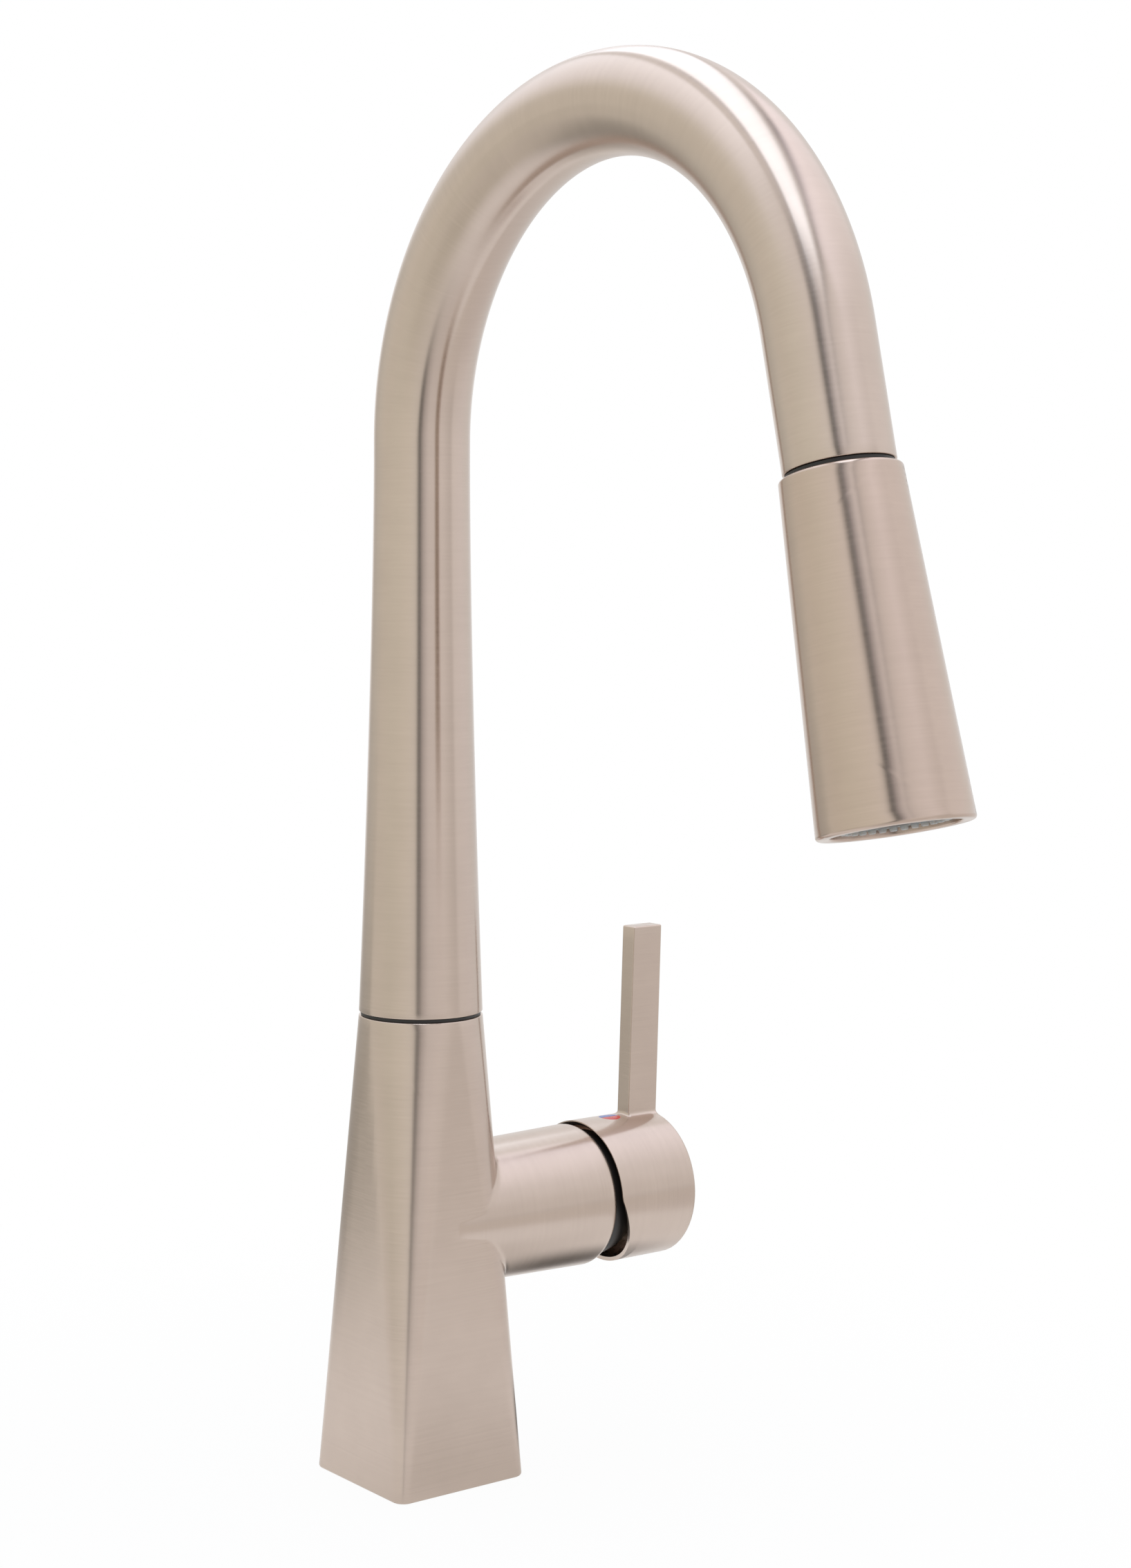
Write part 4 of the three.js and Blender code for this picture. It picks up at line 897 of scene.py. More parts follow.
def sheet_with_slot(depth, low, high):
    """The cone's side as a sheet of rows from the slot's outline to the border, at a depth under
    the surface and between two heights. The columns are the same for every depth."""
    border = sheet_border(PI, 0, 1, HEAD_BACK_COLUMNS, HEAD_RIM_COLUMNS)
    middle = (button_z - HEAD_SHEET_LOW) / (HEAD_SHEET_HIGH - HEAD_SHEET_LOW)
    toward = np.arctan2((border[:, 1] - middle) * HEAD_LENGTH, border[:, 0] * head_radius(button_z))
    out_x, out_z = slot_outline(BUTTON_WIDTH + 2 * BUTTON_GAP, BUTTON_LENGTH + 2 * BUTTON_GAP,
                                (toward / (2 * PI)) % 1)
    hole = np.stack([np.arcsin(out_x / (head_radius(button_z) - depth)), button_z + out_z], -1)
    border = border * [1, high - low] + [0, low]
    sheet = rows_out(hole, border, np.zeros((1, 1)), 40, 2.0)
    angle, height = np.moveaxis(sheet, -1, 0)
    return round_head(head_radius(height) - depth, angle, height), sheet


def head_skin():
    """The outside of the cone and the inside under it, joined through the slot's wall, whose outer
    edge is broken by a small round. Brush lines run round the cone."""
    outside, outer = sheet_with_slot(0.0, HEAD_SHEET_LOW, HEAD_SHEET_HIGH)
    inside, inner = sheet_with_slot(HEAD_WALL, plate_top, head_roof)
    edge = outside[0] + (inside[0] - outside[0]) * 0.2
    outside[0] += (outside[1] - outside[0]) * 0.4
    angle, height = np.moveaxis(np.concatenate([inner[::-1], outer[:1], outer]), -1, 0)
    points = np.concatenate([inside[::-1], edge[None], outside])
    return points, True, stated_uv(height, angle * HEAD_TOP_RADIUS, 2 * PI * HEAD_TOP_RADIUS)


def head_rims():
    """Two sets of rows: from the outside's lower border round the lip to the inside, and from the
    inside over the roof and round the top rim to the outside again."""
    turn = np.linspace(PI, -PI, HEAD_RIM_COLUMNS + 1)[:-1]
    lip = rounded_profile([
        (head_radius(HEAD_SHEET_LOW), HEAD_SHEET_LOW, 0), (head_radius(head_end), head_end, 0.88),
        (lip_bore, head_end, 0.55), (lip_bore, plate_top, 0),
        (head_radius(plate_top) - HEAD_WALL, plate_top, 0)])
    roof = rounded_profile([
        (head_radius(head_roof) - HEAD_WALL, head_roof, 0), (COLLAR_HOLE, head_roof, 0),
        (COLLAR_HOLE, head_top, 0.3), (HEAD_TOP_RADIUS, head_top, HEAD_EDGE * 0.98),
        (head_radius(HEAD_SHEET_HIGH), HEAD_SHEET_HIGH, 0)])
    return [(round_head(rim[:, :1], turn, rim[:, 1:]), True) for rim in (lip, roof)]


piece("spray_head_shell", [(on_head(points), *rest) for points, *rest in (head_skin(), *head_rims())],
      "spray_head", "satin_nickel", "head_shell", material=head_nickel)

# %% [markdown]
# ## The button that changes the spray
#
# A slot-shaped pad of black plastic on the rear of the head. It is made of shrinking copies of its
# own outline: the side wall, a rounded rim and a face that domes very slightly towards the middle.


# %% The spray button
BUTTON_ROUND, BUTTON_DOME = 0.9, 0.25


def button_pad():
    """Rows of slot outlines from the middle of the back face to the middle of the front face."""
    front = head_radius(button_z) + BUTTON_PROUD
    back = front - BUTTON_THICK
    rim = [(2 * BUTTON_ROUND * (1 - np.cos(t)), front - BUTTON_ROUND * (1 - np.sin(t)))
           for t in np.linspace(0, PI / 2, 8)]
    face = [(2 * BUTTON_ROUND + (BUTTON_WIDTH - 2 * BUTTON_ROUND - 0.1) * s,
             front + BUTTON_DOME * (1 - (1 - s) ** 2)) for s in np.linspace(0.1, 1, 12)]
    rows = []
    for inset, y in [(BUTTON_WIDTH - 0.1, back), (0.0, back), *rim, *face]:
        x, z = slot_outline(BUTTON_WIDTH - inset, BUTTON_LENGTH - inset, np.linspace(0, 1, 96, False))
        rows.append(np.stack([x, np.full_like(x, y), z + button_z], -1))
    first, last = (0 * row + row.mean(0) for row in (rows[0], rows[-1]))
    return np.stack([first, *rows, last])


piece("spray_button", [(on_head(button_pad()), True)], "diverter", "black_plastic", "diverter_button")

# %% [markdown]
# ## The spray face
#
# Behind the lip lies a plate with a channel for the ring of soft nozzles. Each nozzle is a small
# tapered stud with a round tip and a hole; one stud is worked out once and then copied round the
# circle by adding an array of centres to it. In the middle sits the aerator: a cup with a fine
# wire screen.

# %% The spray plate
NUB_COUNT, NUB_CIRCLE, NUB_RADIUS, NUB_HEIGHT = 30, 13.2, 1.1, 1.0
NOZZLE_BAND = 2.8
AERATOR_RADIUS, AERATOR_LENGTH = 9.3, 9.0
SEAT_GAP = 0.3  # between pieces that lie in each other
band_in, band_out = NUB_CIRCLE - NOZZLE_BAND / 2, NUB_CIRCLE + NOZZLE_BAND / 2
plate_in, plate_out = AERATOR_RADIUS + SEAT_GAP, lip_bore - SEAT_GAP
turned_on_head("spray_plate", [
    (plate_in, face_z, 0), (band_in - SEAT_GAP, face_z, 0.3), (band_in - SEAT_GAP, plate_top - 1, 0.1),
    (band_out + SEAT_GAP, plate_top - 1, 0.1), (band_out + SEAT_GAP, face_z, 0.3),
    (plate_out, face_z, 0.3), (plate_out, plate_top, 0), (plate_in, plate_top, 0), (plate_in, face_z, 0)],
    144, "spray_head", "grey_plastic", "spray_face")


# %% The ring of soft nozzles
NUB_PROFILE = np.array([  # radius and height, as shares of the stud's
    (0.28, 0.2), (0.3, -0.55), (0.42, -0.86), (0.6, -0.98), (0.78, -0.9), (0.86, -0.72),
    (1.0, 0.1), (1.04, 0.25), (0.28, 0.2)])


def nozzle_studs():
    """The same stud as many grids, each moved to its own centre on the circle."""
    stud = turned(NUB_PROFILE * [NUB_RADIUS, NUB_HEIGHT], 14)
    centres = polar(NUB_CIRCLE, np.arange(NUB_COUNT) / NUB_COUNT * 2 * PI, face_z)
    return [stud + centre for centre in centres]


band = turned(rounded_profile([
    (band_in, face_z, 0), (band_out, face_z, 0.2), (band_out, plate_top - 1.3, 0),
    (band_in, plate_top - 1.3, 0), (band_in, face_z, 0)]), 144)
piece("soft_nozzles", [(on_head(points), True) for points in (band, *nozzle_studs())],
      "spray_head", "silicone", "nozzle_ring")

# %% The aerator's cup and screen
CUP_WALL = 1.2
OUTLET_RADIUS = 4.0
cup_top = face_z + AERATOR_LENGTH
turned_on_head("aerator_cup", [
    (AERATOR_RADIUS - CUP_WALL, face_z, 0.3), (AERATOR_RADIUS, face_z, 0.3), (AERATOR_RADIUS, cup_top, 0),
    (OUTLET_RADIUS, cup_top, 0), (OUTLET_RADIUS, cup_top - CUP_WALL, 0),
    (AERATOR_RADIUS - CUP_WALL, cup_top - CUP_WALL, 0), (AERATOR_RADIUS - CUP_WALL, face_z, 0.3)],
    96, "spray_head", "black_plastic", "aerator_housing")


def screen_dome():
    """A shallow dome with a woven relief: the height falls off with the square of the radius, and
    crossed sine waves lift the wires by a tenth of a millimetre."""
    radius = np.linspace(0, AERATOR_RADIUS - CUP_WALL - 0.3, 60)[:, None]
    flat = polar(radius, round_turn(160), 0)
    weave = 0.1 * np.sin(flat[..., 0] * PI / 0.45) * np.sin(flat[..., 1] * PI / 0.45)
    low = face_z + 1.1 + 0.5 * (radius / AERATOR_RADIUS) ** 2 + weave
    return np.concatenate([flat + low[..., None] * [0, 0, 1], flat[::-1] + [0, 0, face_z + 2.2]])


piece("aerator_mesh", [(on_head(screen_dome()), True)], "spray_head", "stainless_steel", "aerator_screen")

# %% [markdown]
# ## The lever and its hub
#
# The hub is a round cap on the valve's axis whose open end is cut back below, where it swings in
# when the lever tips out. The lever is a flat bar that stands on the hub and leans slightly
# outwards. They are one casting, so they are modelled like the body: the hub's surface is a sheet,
# the bar's foot is a loop on it, and the grid runs up the bar on one side of the loop and out over
# the hub on the other.

# %% The hub's surface as a sheet
HUB_RADIUS, HUB_WALL = 23.09, 1.5
HUB_X, HUB_END_X, HUB_EDGE = 61.2, 91.2, 1.0
HUB_END_WALL = 5.5
SIDE_END_X = HUB_END_X - HUB_EDGE
RELIEF_START, RELIEF_SLOPE = 2.0, np.tan(np.radians(20.8))


def hub_open_x(angle):
    """X of the hub's open end at an angle round the valve's axis: square above the line where the
    relief starts, and running outwards below it in proportion to the depth under that line."""
    below = RELIEF_START - HUB_RADIUS * np.sin(angle)
    return HUB_X + RELIEF_SLOPE * np.maximum(below, 0)


def hub_side(angle, way):
    """A point of the hub. way runs from 0 at the open end to 1 where the rounded edge starts, to 2
    at the end face and to 3 at its middle."""
    start = hub_open_x(angle)
    turn = np.clip(way - 1, 0, 1) * PI / 2
    x = start + (SIDE_END_X - start) * np.clip(way, 0, 1) + HUB_EDGE * np.sin(turn)
    radius = HUB_RADIUS - HUB_EDGE * (1 - np.cos(turn))
    return boss_point(x, radius * (1 - np.clip(way - 2, 0, 1)), angle)


def way_at(x, angle):
    """How far along the sheet a place at X lies, up to the end face."""
    start = hub_open_x(angle)
    on_edge = np.arcsin(np.clip((x - SIDE_END_X) / HUB_EDGE, 0, 1)) / (PI / 2)
    return np.where(x < SIDE_END_X, (x - start) / (SIDE_END_X - start), 1 + on_edge)


# %% [markdown]
# The bar's section is a rectangle with finely rounded corners. Each line down the bar meets the hub
# at the height of the hub's surface under it, which follows from the circle of the hub and, near
# the end face, from the rounded edge.

# %% The lever bar and its foot on the hub
_, lever_high = reach("lever_handle")
LEVER_TOP = lever_high[2] - VALVE_HEIGHT
LEVER_X, LEVER_WIDTH, LEVER_TOP_WIDTH = 85.15, 11.4, 11.3
LEVER_THICK = 6.1
LEVER_LEAN = np.tan(np.radians(1.6))
LEVER_EDGE, LEVER_TOP_EDGE = 0.45, 0.6


def bar_section(share, width, thick, edge):
    """A rectangle with rounded corners, by the same share as the body's section: the square
    section with its half width split in X and Y."""
    x, y = section(share, thick / 2, edge)
    return x + np.sign(x) * np.minimum(np.abs(x) / (thick / 2 - edge), 1) * (width - thick) / 2, y


def bar_line(share, height, inset=0.0):
    """Points down the bar at heights over the valve's axis; the bar leans and widens evenly."""
    rise = (height - HUB_RADIUS) / (LEVER_TOP - HUB_RADIUS)
    width = LEVER_WIDTH + (LEVER_TOP_WIDTH - LEVER_WIDTH) * rise
    edge = np.maximum(LEVER_EDGE - inset, 0.12)
    x, y = bar_section(share, width - 2 * inset, LEVER_THICK - 2 * inset, edge)
    x = x + LEVER_X + (height - HUB_RADIUS) * LEVER_LEAN
    return np.stack(np.broadcast_arrays(x, y, VALVE_HEIGHT + height), -1)


def hub_height_under(x, y):
    """Height of the hub's surface over the valve's axis, above a point beside that axis."""
    past = np.clip(x - SIDE_END_X, 0, HUB_EDGE)
    radius = HUB_RADIUS - HUB_EDGE + np.sqrt(np.maximum(HUB_EDGE ** 2 - past ** 2, 0))
    return np.sqrt(radius ** 2 - y ** 2)


# %% The lever's skin
HUB_END_COLUMNS, HUB_SIDE_COLUMNS = 96, 60
FOOT_X_LIMIT = HUB_END_X - 0.02  # the bar's foot stays this side of the end face
FOOT_WAY, FOOT_LIFT = 0.82, 3.0  # the foot's middle on the sheet, and how far up its lines level out
SHEET_WIDE, SHEET_LONG = 20, 30  # the sheet's proportions, for the directions of its columns
FIRST_ROWS, FIRST_SHARE = 10, 0.09


def lever_bar(share):
    """Rows of the bar from its top down to the loop, where every line ends on the hub."""
    foot = bar_line(share, HUB_RADIUS)
    height = hub_height_under(np.minimum(foot[:, 0], FOOT_X_LIMIT), foot[:, 1])
    straight = LEVER_TOP - LEVER_TOP_EDGE - HUB_RADIUS - FOOT_LIFT
    rows = np.concatenate([np.linspace(0, 1, 13)[:-1] * FOOT_LIFT, FOOT_LIFT + ease_out(26, 1.5) * straight])
    lift = (HUB_RADIUS - height) * np.clip(1 - rows[:, None] / FOOT_LIFT, 0, 1)
    return bar_line(share, HUB_RADIUS + rows[:, None] - lift)[::-1]


def lever_skin():
    """The bar down to the loop, then the hub's sheet out to its border: the open end along one
    edge, the middle of the end face along the other, and the line underneath where the sheet
    closes. Columns start at the +X end of the line underneath."""
    border = sheet_border(PI, 3.0, 0.0, HUB_SIDE_COLUMNS, HUB_END_COLUMNS)
    share = np.arctan2(border[:, 0] * SHEET_WIDE, (border[:, 1] - FOOT_WAY) * SHEET_LONG) / PI
    bar = lever_bar(share)
    loop = np.minimum(bar[-1], [FOOT_X_LIMIT, np.inf, np.inf])
    angle = np.arctan2(loop[:, 1], loop[:, 2] - VALVE_HEIGHT)
    hole = np.stack([angle, way_at(loop[:, 0], PI / 2 - angle)], -1)
    first = np.linspace(0, 1, FIRST_ROWS + 1)[1:, None] * FIRST_SHARE
    sheet = rows_out(hole, border, first, 40, 1.8)
    hub = hub_side(PI / 2 - sheet[..., 0], sheet[..., 1])
    seam = len(bar) - 1
    grid = relax_rows(np.concatenate([bar, hub]), seam, spread_rows=6, rounds=12)
    turn, way = np.moveaxis(np.concatenate([hole[None], sheet]), -1, 0)
    start = hub_open_x(PI / 2 - turn)
    along = start + (SIDE_END_X - start) * np.clip(way, 0, 1)
    along = along + HUB_EDGE * np.clip(way - 1, 0, 1) + HUB_RADIUS * np.clip(way - 2, 0, 1)
    hub_uv = stated_uv(along, turn * HUB_RADIUS, 2 * PI * HUB_RADIUS)
    return (grid[:seam + 1], True), (grid[seam:], True, hub_uv), share


bar_skin, hub_skin, bar_share = lever_skin()
print("skin of the bar:", bar_skin[0].shape[:2], "and of the hub:", hub_skin[0].shape[:2], "points")

# %% [markdown]
# The bar is closed by a rounded top, and the hub by its inside. The hub's rim is thin above, where
# it all but touches the boss, and thicker below, where its end is cut back.

# %% Close the lever
RIM_WIDTH, RIM_GROWTH, RIM_FALL = 0.35, 0.85, 12.0
LEAD_IN = 1.4


def bar_top():
    """The bar's rounded top edge and its flat top, from shrinking outlines."""
    edge = []
    for turn in np.linspace(0, PI / 2, 6):
        inset = LEVER_TOP_EDGE * (1 - np.cos(turn))
        edge.append(bar_line(bar_share, LEVER_TOP - LEVER_TOP_EDGE * (1 - np.sin(turn)), inset))
    flat = [edge[-1] + (edge[-1].mean(0) - edge[-1]) * share for share in (0.35, 0.7, 1.0)]
    return np.stack([*edge, *flat])[::-1]


def hub_inside():
    """From the open end's rim, with its light lead-in, along the inside to the inner end face, for
    the angles of the open end's columns. The rim's thickness grows with the depth under the line
    where the relief starts."""
    angle = PI / 2 + np.linspace(-PI, PI, HUB_END_COLUMNS + 1)[:-1]
    start = hub_open_x(angle)
    below = np.clip((RELIEF_START - HUB_RADIUS * np.sin(angle)) / RIM_FALL, 0, 1)
    rim = HUB_RADIUS - (RIM_WIDTH + RIM_GROWTH * below)
    inner, deep = HUB_RADIUS - HUB_WALL, HUB_END_X - HUB_END_WALL
    return np.stack([boss_point(x, radius, angle) for x, radius in (
        (start, HUB_RADIUS), (start, rim), (start + LEAD_IN, inner), (deep, inner), (deep, 0))])


piece("lever_and_hub", [bar_skin, hub_skin, (bar_top(), True), (hub_inside(), True)],
      "lever", "satin_nickel", "lever_handle")

# %% [markdown]
# ## The dome in the gap
#
# Between the boss and the hub a strip of the cartridge's dome shows. It is black plastic, which
# keeps the gap dark. It is a part of a sphere round the point that the lever tips about, so the hub
# swings round it without touching it.

# %% The bonnet
pivot_x = valve_at[0]
BONNET_RADIUS, BONNET_WALL, BONNET_OPENING = 20.3, 1.7, np.radians(44)
bonnet_foot = BOSS_END_X + 0.3
skirt_end, skirt_out = bonnet_foot - 2.1, MOUTH_RADIUS - 0.3


def dome(radius):
    """An arc of the sphere from the boss's mouth out to the opening, as (radius, X)."""
    sweep = np.linspace(np.arcsin((bonnet_foot - pivot_x) / BONNET_RADIUS), BONNET_OPENING, 24)
    return np.stack([radius * np.cos(sweep), pivot_x + radius * np.sin(sweep)], -1)


bonnet_profile = np.concatenate([
    [(MOUTH_RADIUS - 2.0, skirt_end), (skirt_out, skirt_end), (skirt_out, bonnet_foot)],
    dome(BONNET_RADIUS), dome(BONNET_RADIUS - BONNET_WALL)[::-1], [(MOUTH_RADIUS - 2.0, skirt_end)]])
# The dome is black plastic, which keeps the gap between the boss and the hub dark.
piece("bonnet_dome", [(along_x(turned(bonnet_profile, 144), VALVE_HEIGHT), True)],
      "root", "black_plastic", "cartridge_bonnet")

# %% [markdown]
# ## The temperature index
#
# A red and a blue half disc lie together in a small round pocket on top of the hub. Each is a fan
# of a half circle with a slightly domed top.

# %% The index
index_low, index_high = reach("index_hot")
INDEX_RADIUS = (index_high[0] - index_low[0]) / 2
INDEX_X = (index_high[0] + index_low[0]) / 2
INDEX_MIDDLE = 0.42  # distance of a half's middle from its straight edge, as a share of the radius
INDEX_PROUD, INDEX_SEAM = 0.04, 0.04
INDEX_ROWS = np.array([  # size of the outline, and depth under the top
    (0, 1), (1, 1), (1, 0.22), (0.985, 0.12), (0.955, 0.05), (0.9, 0), (0.6, 0), (0.3, 0), (0, 0)])


def half_disc(side):
    """Half a disc that follows the hub's round. Each row is a shrunken copy of its outline, a half
    circle closed by a straight edge; rows run from the middle underneath, out to the rim, up the
    wall and in to the middle on top. side is -1 for the -Y half and 1 for the +Y half."""
    angle = np.linspace(0, PI, 40)
    straight = np.linspace(-1, 1, 22)[1:-1]
    x = np.concatenate([np.cos(angle), straight])
    y = np.concatenate([np.sin(angle), 0 * straight])
    size, drop = INDEX_ROWS[:, :1], INDEX_ROWS[:, 1:]
    x = INDEX_X + INDEX_RADIUS * x * size
    y = side * (INDEX_SEAM + INDEX_RADIUS * (INDEX_MIDDLE + (y - INDEX_MIDDLE) * size))
    z = VALVE_HEIGHT + np.sqrt((HUB_RADIUS + INDEX_PROUD) ** 2 - y ** 2) - drop
    return np.stack(np.broadcast_arrays(x, y, z), -1)


for temperature, side, slot in (("hot", -1, "index_red"), ("cold", 1, "index_blue")):
    piece(f"index_mark_{temperature}", [(half_disc(side), True)], "lever", slot, f"index_{temperature}")

# %% [markdown]
# ## The hose
#
# The hose comes up through the shank, the body and the gooseneck and ends in the docking collar.
# Its sleeve is braided nylon: two sets of threads wind round it in opposite directions and pass
# over and under each other. On the real faucet the whole hose slides when the head is pulled. Here
# the long part stays with the spout, and the last part, from the bend to the collar, is built in its
# place and rides on no body.


# %% A braided finish
def braided(name, dark, light, strands, round_length, pitch):
    """A woven sleeve. With U along the hose and V round it, the two sets of threads are stripes
    along a = strands V / round_length + U / pitch and b = strands V / round_length - U / pitch,
    and the height of the weave is sin(2 pi a) sin(2 pi b)."""
    material, shader = new_material(name)
    parts = node(material, "SeparateXYZ", node(material, "UVMap", uv_map="UVMap").outputs["UV"])
    u = math(material, "MULTIPLY", parts.outputs["X"], 2 * PI / pitch)
    v = math(material, "MULTIPLY", parts.outputs["Y"], 2 * PI * strands / round_length)
    waves = [math(material, "SINE", math(material, way, v, u)) for way in ("ADD", "SUBTRACT")]
    weave = math(material, "MULTIPLY_ADD", math(material, "MULTIPLY", *waves), 0.5, 0.5)
    return finish(material, shader, (weave, dark, light), (weave, 0.75, 0.5), (weave, 0.8, 0.2 * MM))


# %% The two parts of the hose
HOSE_RADIUS = 5.95
HOSE_FREE = 34.0  # how far up the bend the part that runs to the head begins
COLLAR_DROP = 1.2
PULL_LENGTH = 200.0
hose_low, _ = reach("spray_hose")
finishes["hose_braid"] = braided("hose_braid", (0.05, 0.05, 0.052), (0.3, 0.3, 0.31), 10,
                                 2 * PI * HOSE_RADIUS * MM, 5.5 * MM)


def hose_skin(path):
    """Rings round the stations (y, z, turn) of a path, closed by a middle point at either end."""
    ends = np.pad(path, ((0, 0), (1, 1)), "edge")
    radius = np.full(len(ends[0]), HOSE_RADIUS)
    radius[[0, -1]] = 0
    return rings_along(*ends, radius, 48)


path = stations[:3]
split = int(np.argmax(path[2] > PI - TILT - HOSE_FREE / FALL_RADIUS))
below = np.linspace(hose_low[2], path[1, 0], 60)[:-1]
fixed_path = np.concatenate([[0 * below, below, 0 * below], path[:, :split + 1]], 1)
piece("hose_in_the_spout", [(hose_skin(fixed_path), True)], "spout", "hose_braid", "spray_hose")

# The braid of the part that runs to the head is mapped as it would lie when the head is fully pulled.
collar = [path[0, -1] - COLLAR_DROP * np.sin(TILT), path[1, -1] - COLLAR_DROP * np.cos(TILT),
          path[2, -1]]
free = hose_skin(np.column_stack([path[:, split:], collar]))
free_start = np.array([0, path[0, split], path[1, split]])
run = leg_end - free_start
t = np.clip((free - free_start) @ run / (run @ run), 0, 1)[..., None]
pulled = free + PULL_LENGTH * head_axis * t * t * (3 - 2 * t)
piece("hose_to_the_head", [(free, True, measured_uv(pulled, True))], ("spout", "hose_end"),
      "hose_braid", "hose_tail", bend=(free_start, leg_end))

# %% [markdown]
# ## Under the deck
#
# A threaded brass shank goes through the hole in the deck, and a nut on it carries three jack
# screws that press a steel washer up against the deck. A screw thread is a helix: at every height
# its ridge has turned a little further. So the shank is a turned form whose radius depends on the
# height and on the angle together.


# %% Threads
def thread(height, angle, crest, pitch, depth):
    """The radius of a thread: with t = the fraction of height / pitch - angle / 2 pi, it lies under
    the crest by depth times a triangle wave of t whose ridges and valleys are cut flat."""
    t = (height / pitch - angle / (2 * PI)) % 1
    return crest - depth * np.clip(1.2 - 2.4 * np.abs(2 * t - 1), 0, 1)


def threaded_rod(low, high, crest, pitch, depth, columns):
    """Rings of a threaded rod with a chamfer at its low end and a run-out at its high end."""
    height = np.arange(low, high, pitch / 8)[:, None]
    angle = round_turn(columns)
    run_out = np.clip((high - height) / pitch, 0, 1)
    radius = np.minimum(thread(height, angle, crest, pitch, depth * run_out),
                        crest - depth + (height - low))
    return polar(radius, angle, height)


# %% The mounting shank
shank_low, shank_high = reach("mounting_shank")
SHANK_RADIUS, SHANK_BORE = 16.2, 13.6
SHANK_PITCH, SHANK_DEPTH = 2.0, 0.9
THREAD_TOP = -3.0
rod = threaded_rod(shank_low[2], THREAD_TOP, SHANK_RADIUS, SHANK_PITCH, SHANK_DEPTH, 96)
collar = turned(rounded_profile([
    (SHANK_RADIUS, THREAD_TOP, 0), (SHANK_RADIUS, shank_high[2], 0.3), (SHANK_BORE, shank_high[2], 0.3),
    (SHANK_BORE, shank_low[2], 0)]), 96)
piece("threaded_shank", [(np.concatenate([rod, collar, rod[:1]]), True)],
      "root", "brass", "mounting_shank")

# %% The jack screws
JACK_COUNT, JACK_COLUMNS = 3, 48
JACK_RADIUS, JACK_PITCH, JACK_DEPTH = 2.35, 0.8, 0.35
JACK_FLAT, JACK_HEAD, HEAD_CHAMFER = 3.5, 4.0, 0.4


def hexagon(apothem, angle):
    """Radius of a six-sided outline: apothem / cos of the angle from the middle of a side."""
    return apothem / np.cos((angle + PI / 6) % (PI / 3) - PI / 6)


def jack_screw(low, high):
    """A hexagon-headed screw standing on its head, from its middle below to its middle above."""
    angle = round_turn(JACK_COLUMNS)
    outline = hexagon(JACK_FLAT, angle)
    under = low + JACK_HEAD
    head = np.stack([polar(radius, angle, height) for radius, height in (
        (0, low), (JACK_FLAT - HEAD_CHAMFER, low), (outline, low + HEAD_CHAMFER),
        (outline, under), (JACK_RADIUS, under))])
    rod = threaded_rod(under, high, JACK_RADIUS, JACK_PITCH, JACK_DEPTH, JACK_COLUMNS)
    return np.concatenate([head, rod[1:], rod[-1:] * [0, 0, 1]])


for number in range(1, JACK_COUNT + 1):
    name = f"jack_screw_{number}"
    low, high = reach(name)
    middle = (low + high) / 2 * [1, 1, 0]
    piece(f"{name}_fine", [(jack_screw(low[2], high[2]) + middle, True)],
          "root", "stainless_steel", name)

# %% [markdown]
# ## The other CAD nodes
#
# What stays as a CAD solid gets its finish by slot: brass and steel hardware, acetal bushings,
# ceramic discs and rubber seals.

# %% Finishes of the nodes that stay
for part in frame["record"]["subparts"]:
    for place in frame["nodes"][part["node"]].material_slots:
        place.material = finishes[part["material_slot"]]
print("finished", len(frame["nodes"]), "CAD nodes")

# %% [markdown]
# ## A studio for metal
#
# Metal has no colour of its own to show, only what stands round it, so the studio is designed from
# the reflections that it should give. The camera sees plain white, but mirror rays see the walls of
# a light tent: slightly greenish on the left, a little brighter and pinker on the right, with a
# narrow dark gap where the camera looks in. On every upright tube that gap becomes the thin dark
# line that makes it look round.
#
# The tone of the walls is a ramp over the compass turn from the camera, and the same ramp colours
# the far floor, so that the walls seem to run on down behind a white table and a dimmer floor.

# %% The walls of the light tent
CAMERA_BEARING = np.arctan2(CAMERA_AT[1], CAMERA_AT[0])
PLAIN = (1, 1, 1)
WALL_TONES = (  # degrees from the camera, and the tone there
    (-180, PLAIN), (-158, (0.94, 0.93, 0.91)), (-150, (0.66, 0.64, 0.6)), (-138, (0.7, 0.69, 0.63)),
    (-122, (0.8, 0.8, 0.73)), (-108, (0.85, 0.84, 0.76)), (-92, (0.86, 0.85, 0.76)),
    (-66, (0.89, 0.89, 0.79)), (-34, (0.94, 0.93, 0.83)), (-14, (0.98, 0.98, 0.91)),
    (14, (0.92, 0.9, 0.88)), (24, (0.94, 0.92, 0.91)), (31, (1.0, 0.98, 0.97)),
    (42, (1.0, 0.98, 0.97)), (52, (0.93, 0.91, 0.89)), (62, (0.85, 0.83, 0.81)),
    (72, (0.78, 0.76, 0.74)), (79, (1.0, 0.99, 0.98)), (107, (1.0, 0.99, 1.0)),
    (128, (0.94, 0.94, 0.93)), (146, (0.88, 0.88, 0.88)), (166, (0.95, 0.95, 0.95)), (180, PLAIN))
GAP_SHADE = (
    (-180, PLAIN), (-10, PLAIN), (-7, (0.13, 0.13, 0.13)), (-2, (0.13, 0.13, 0.13)),
    (2, (0.58, 0.56, 0.57)), (9, (0.8, 0.78, 0.8)), (15, PLAIN), (180, PLAIN))
HIGH_GAP_SHADE = (
    (-180, PLAIN), (-16, PLAIN), (-10, (0.42, 0.42, 0.43)), (3, (0.4, 0.4, 0.41)),
    (13, (0.8, 0.79, 0.81)), (21, PLAIN), (180, PLAIN))
GAP_LEAN = 24.0  # degrees that the gap leans to the left from the horizon to straight up


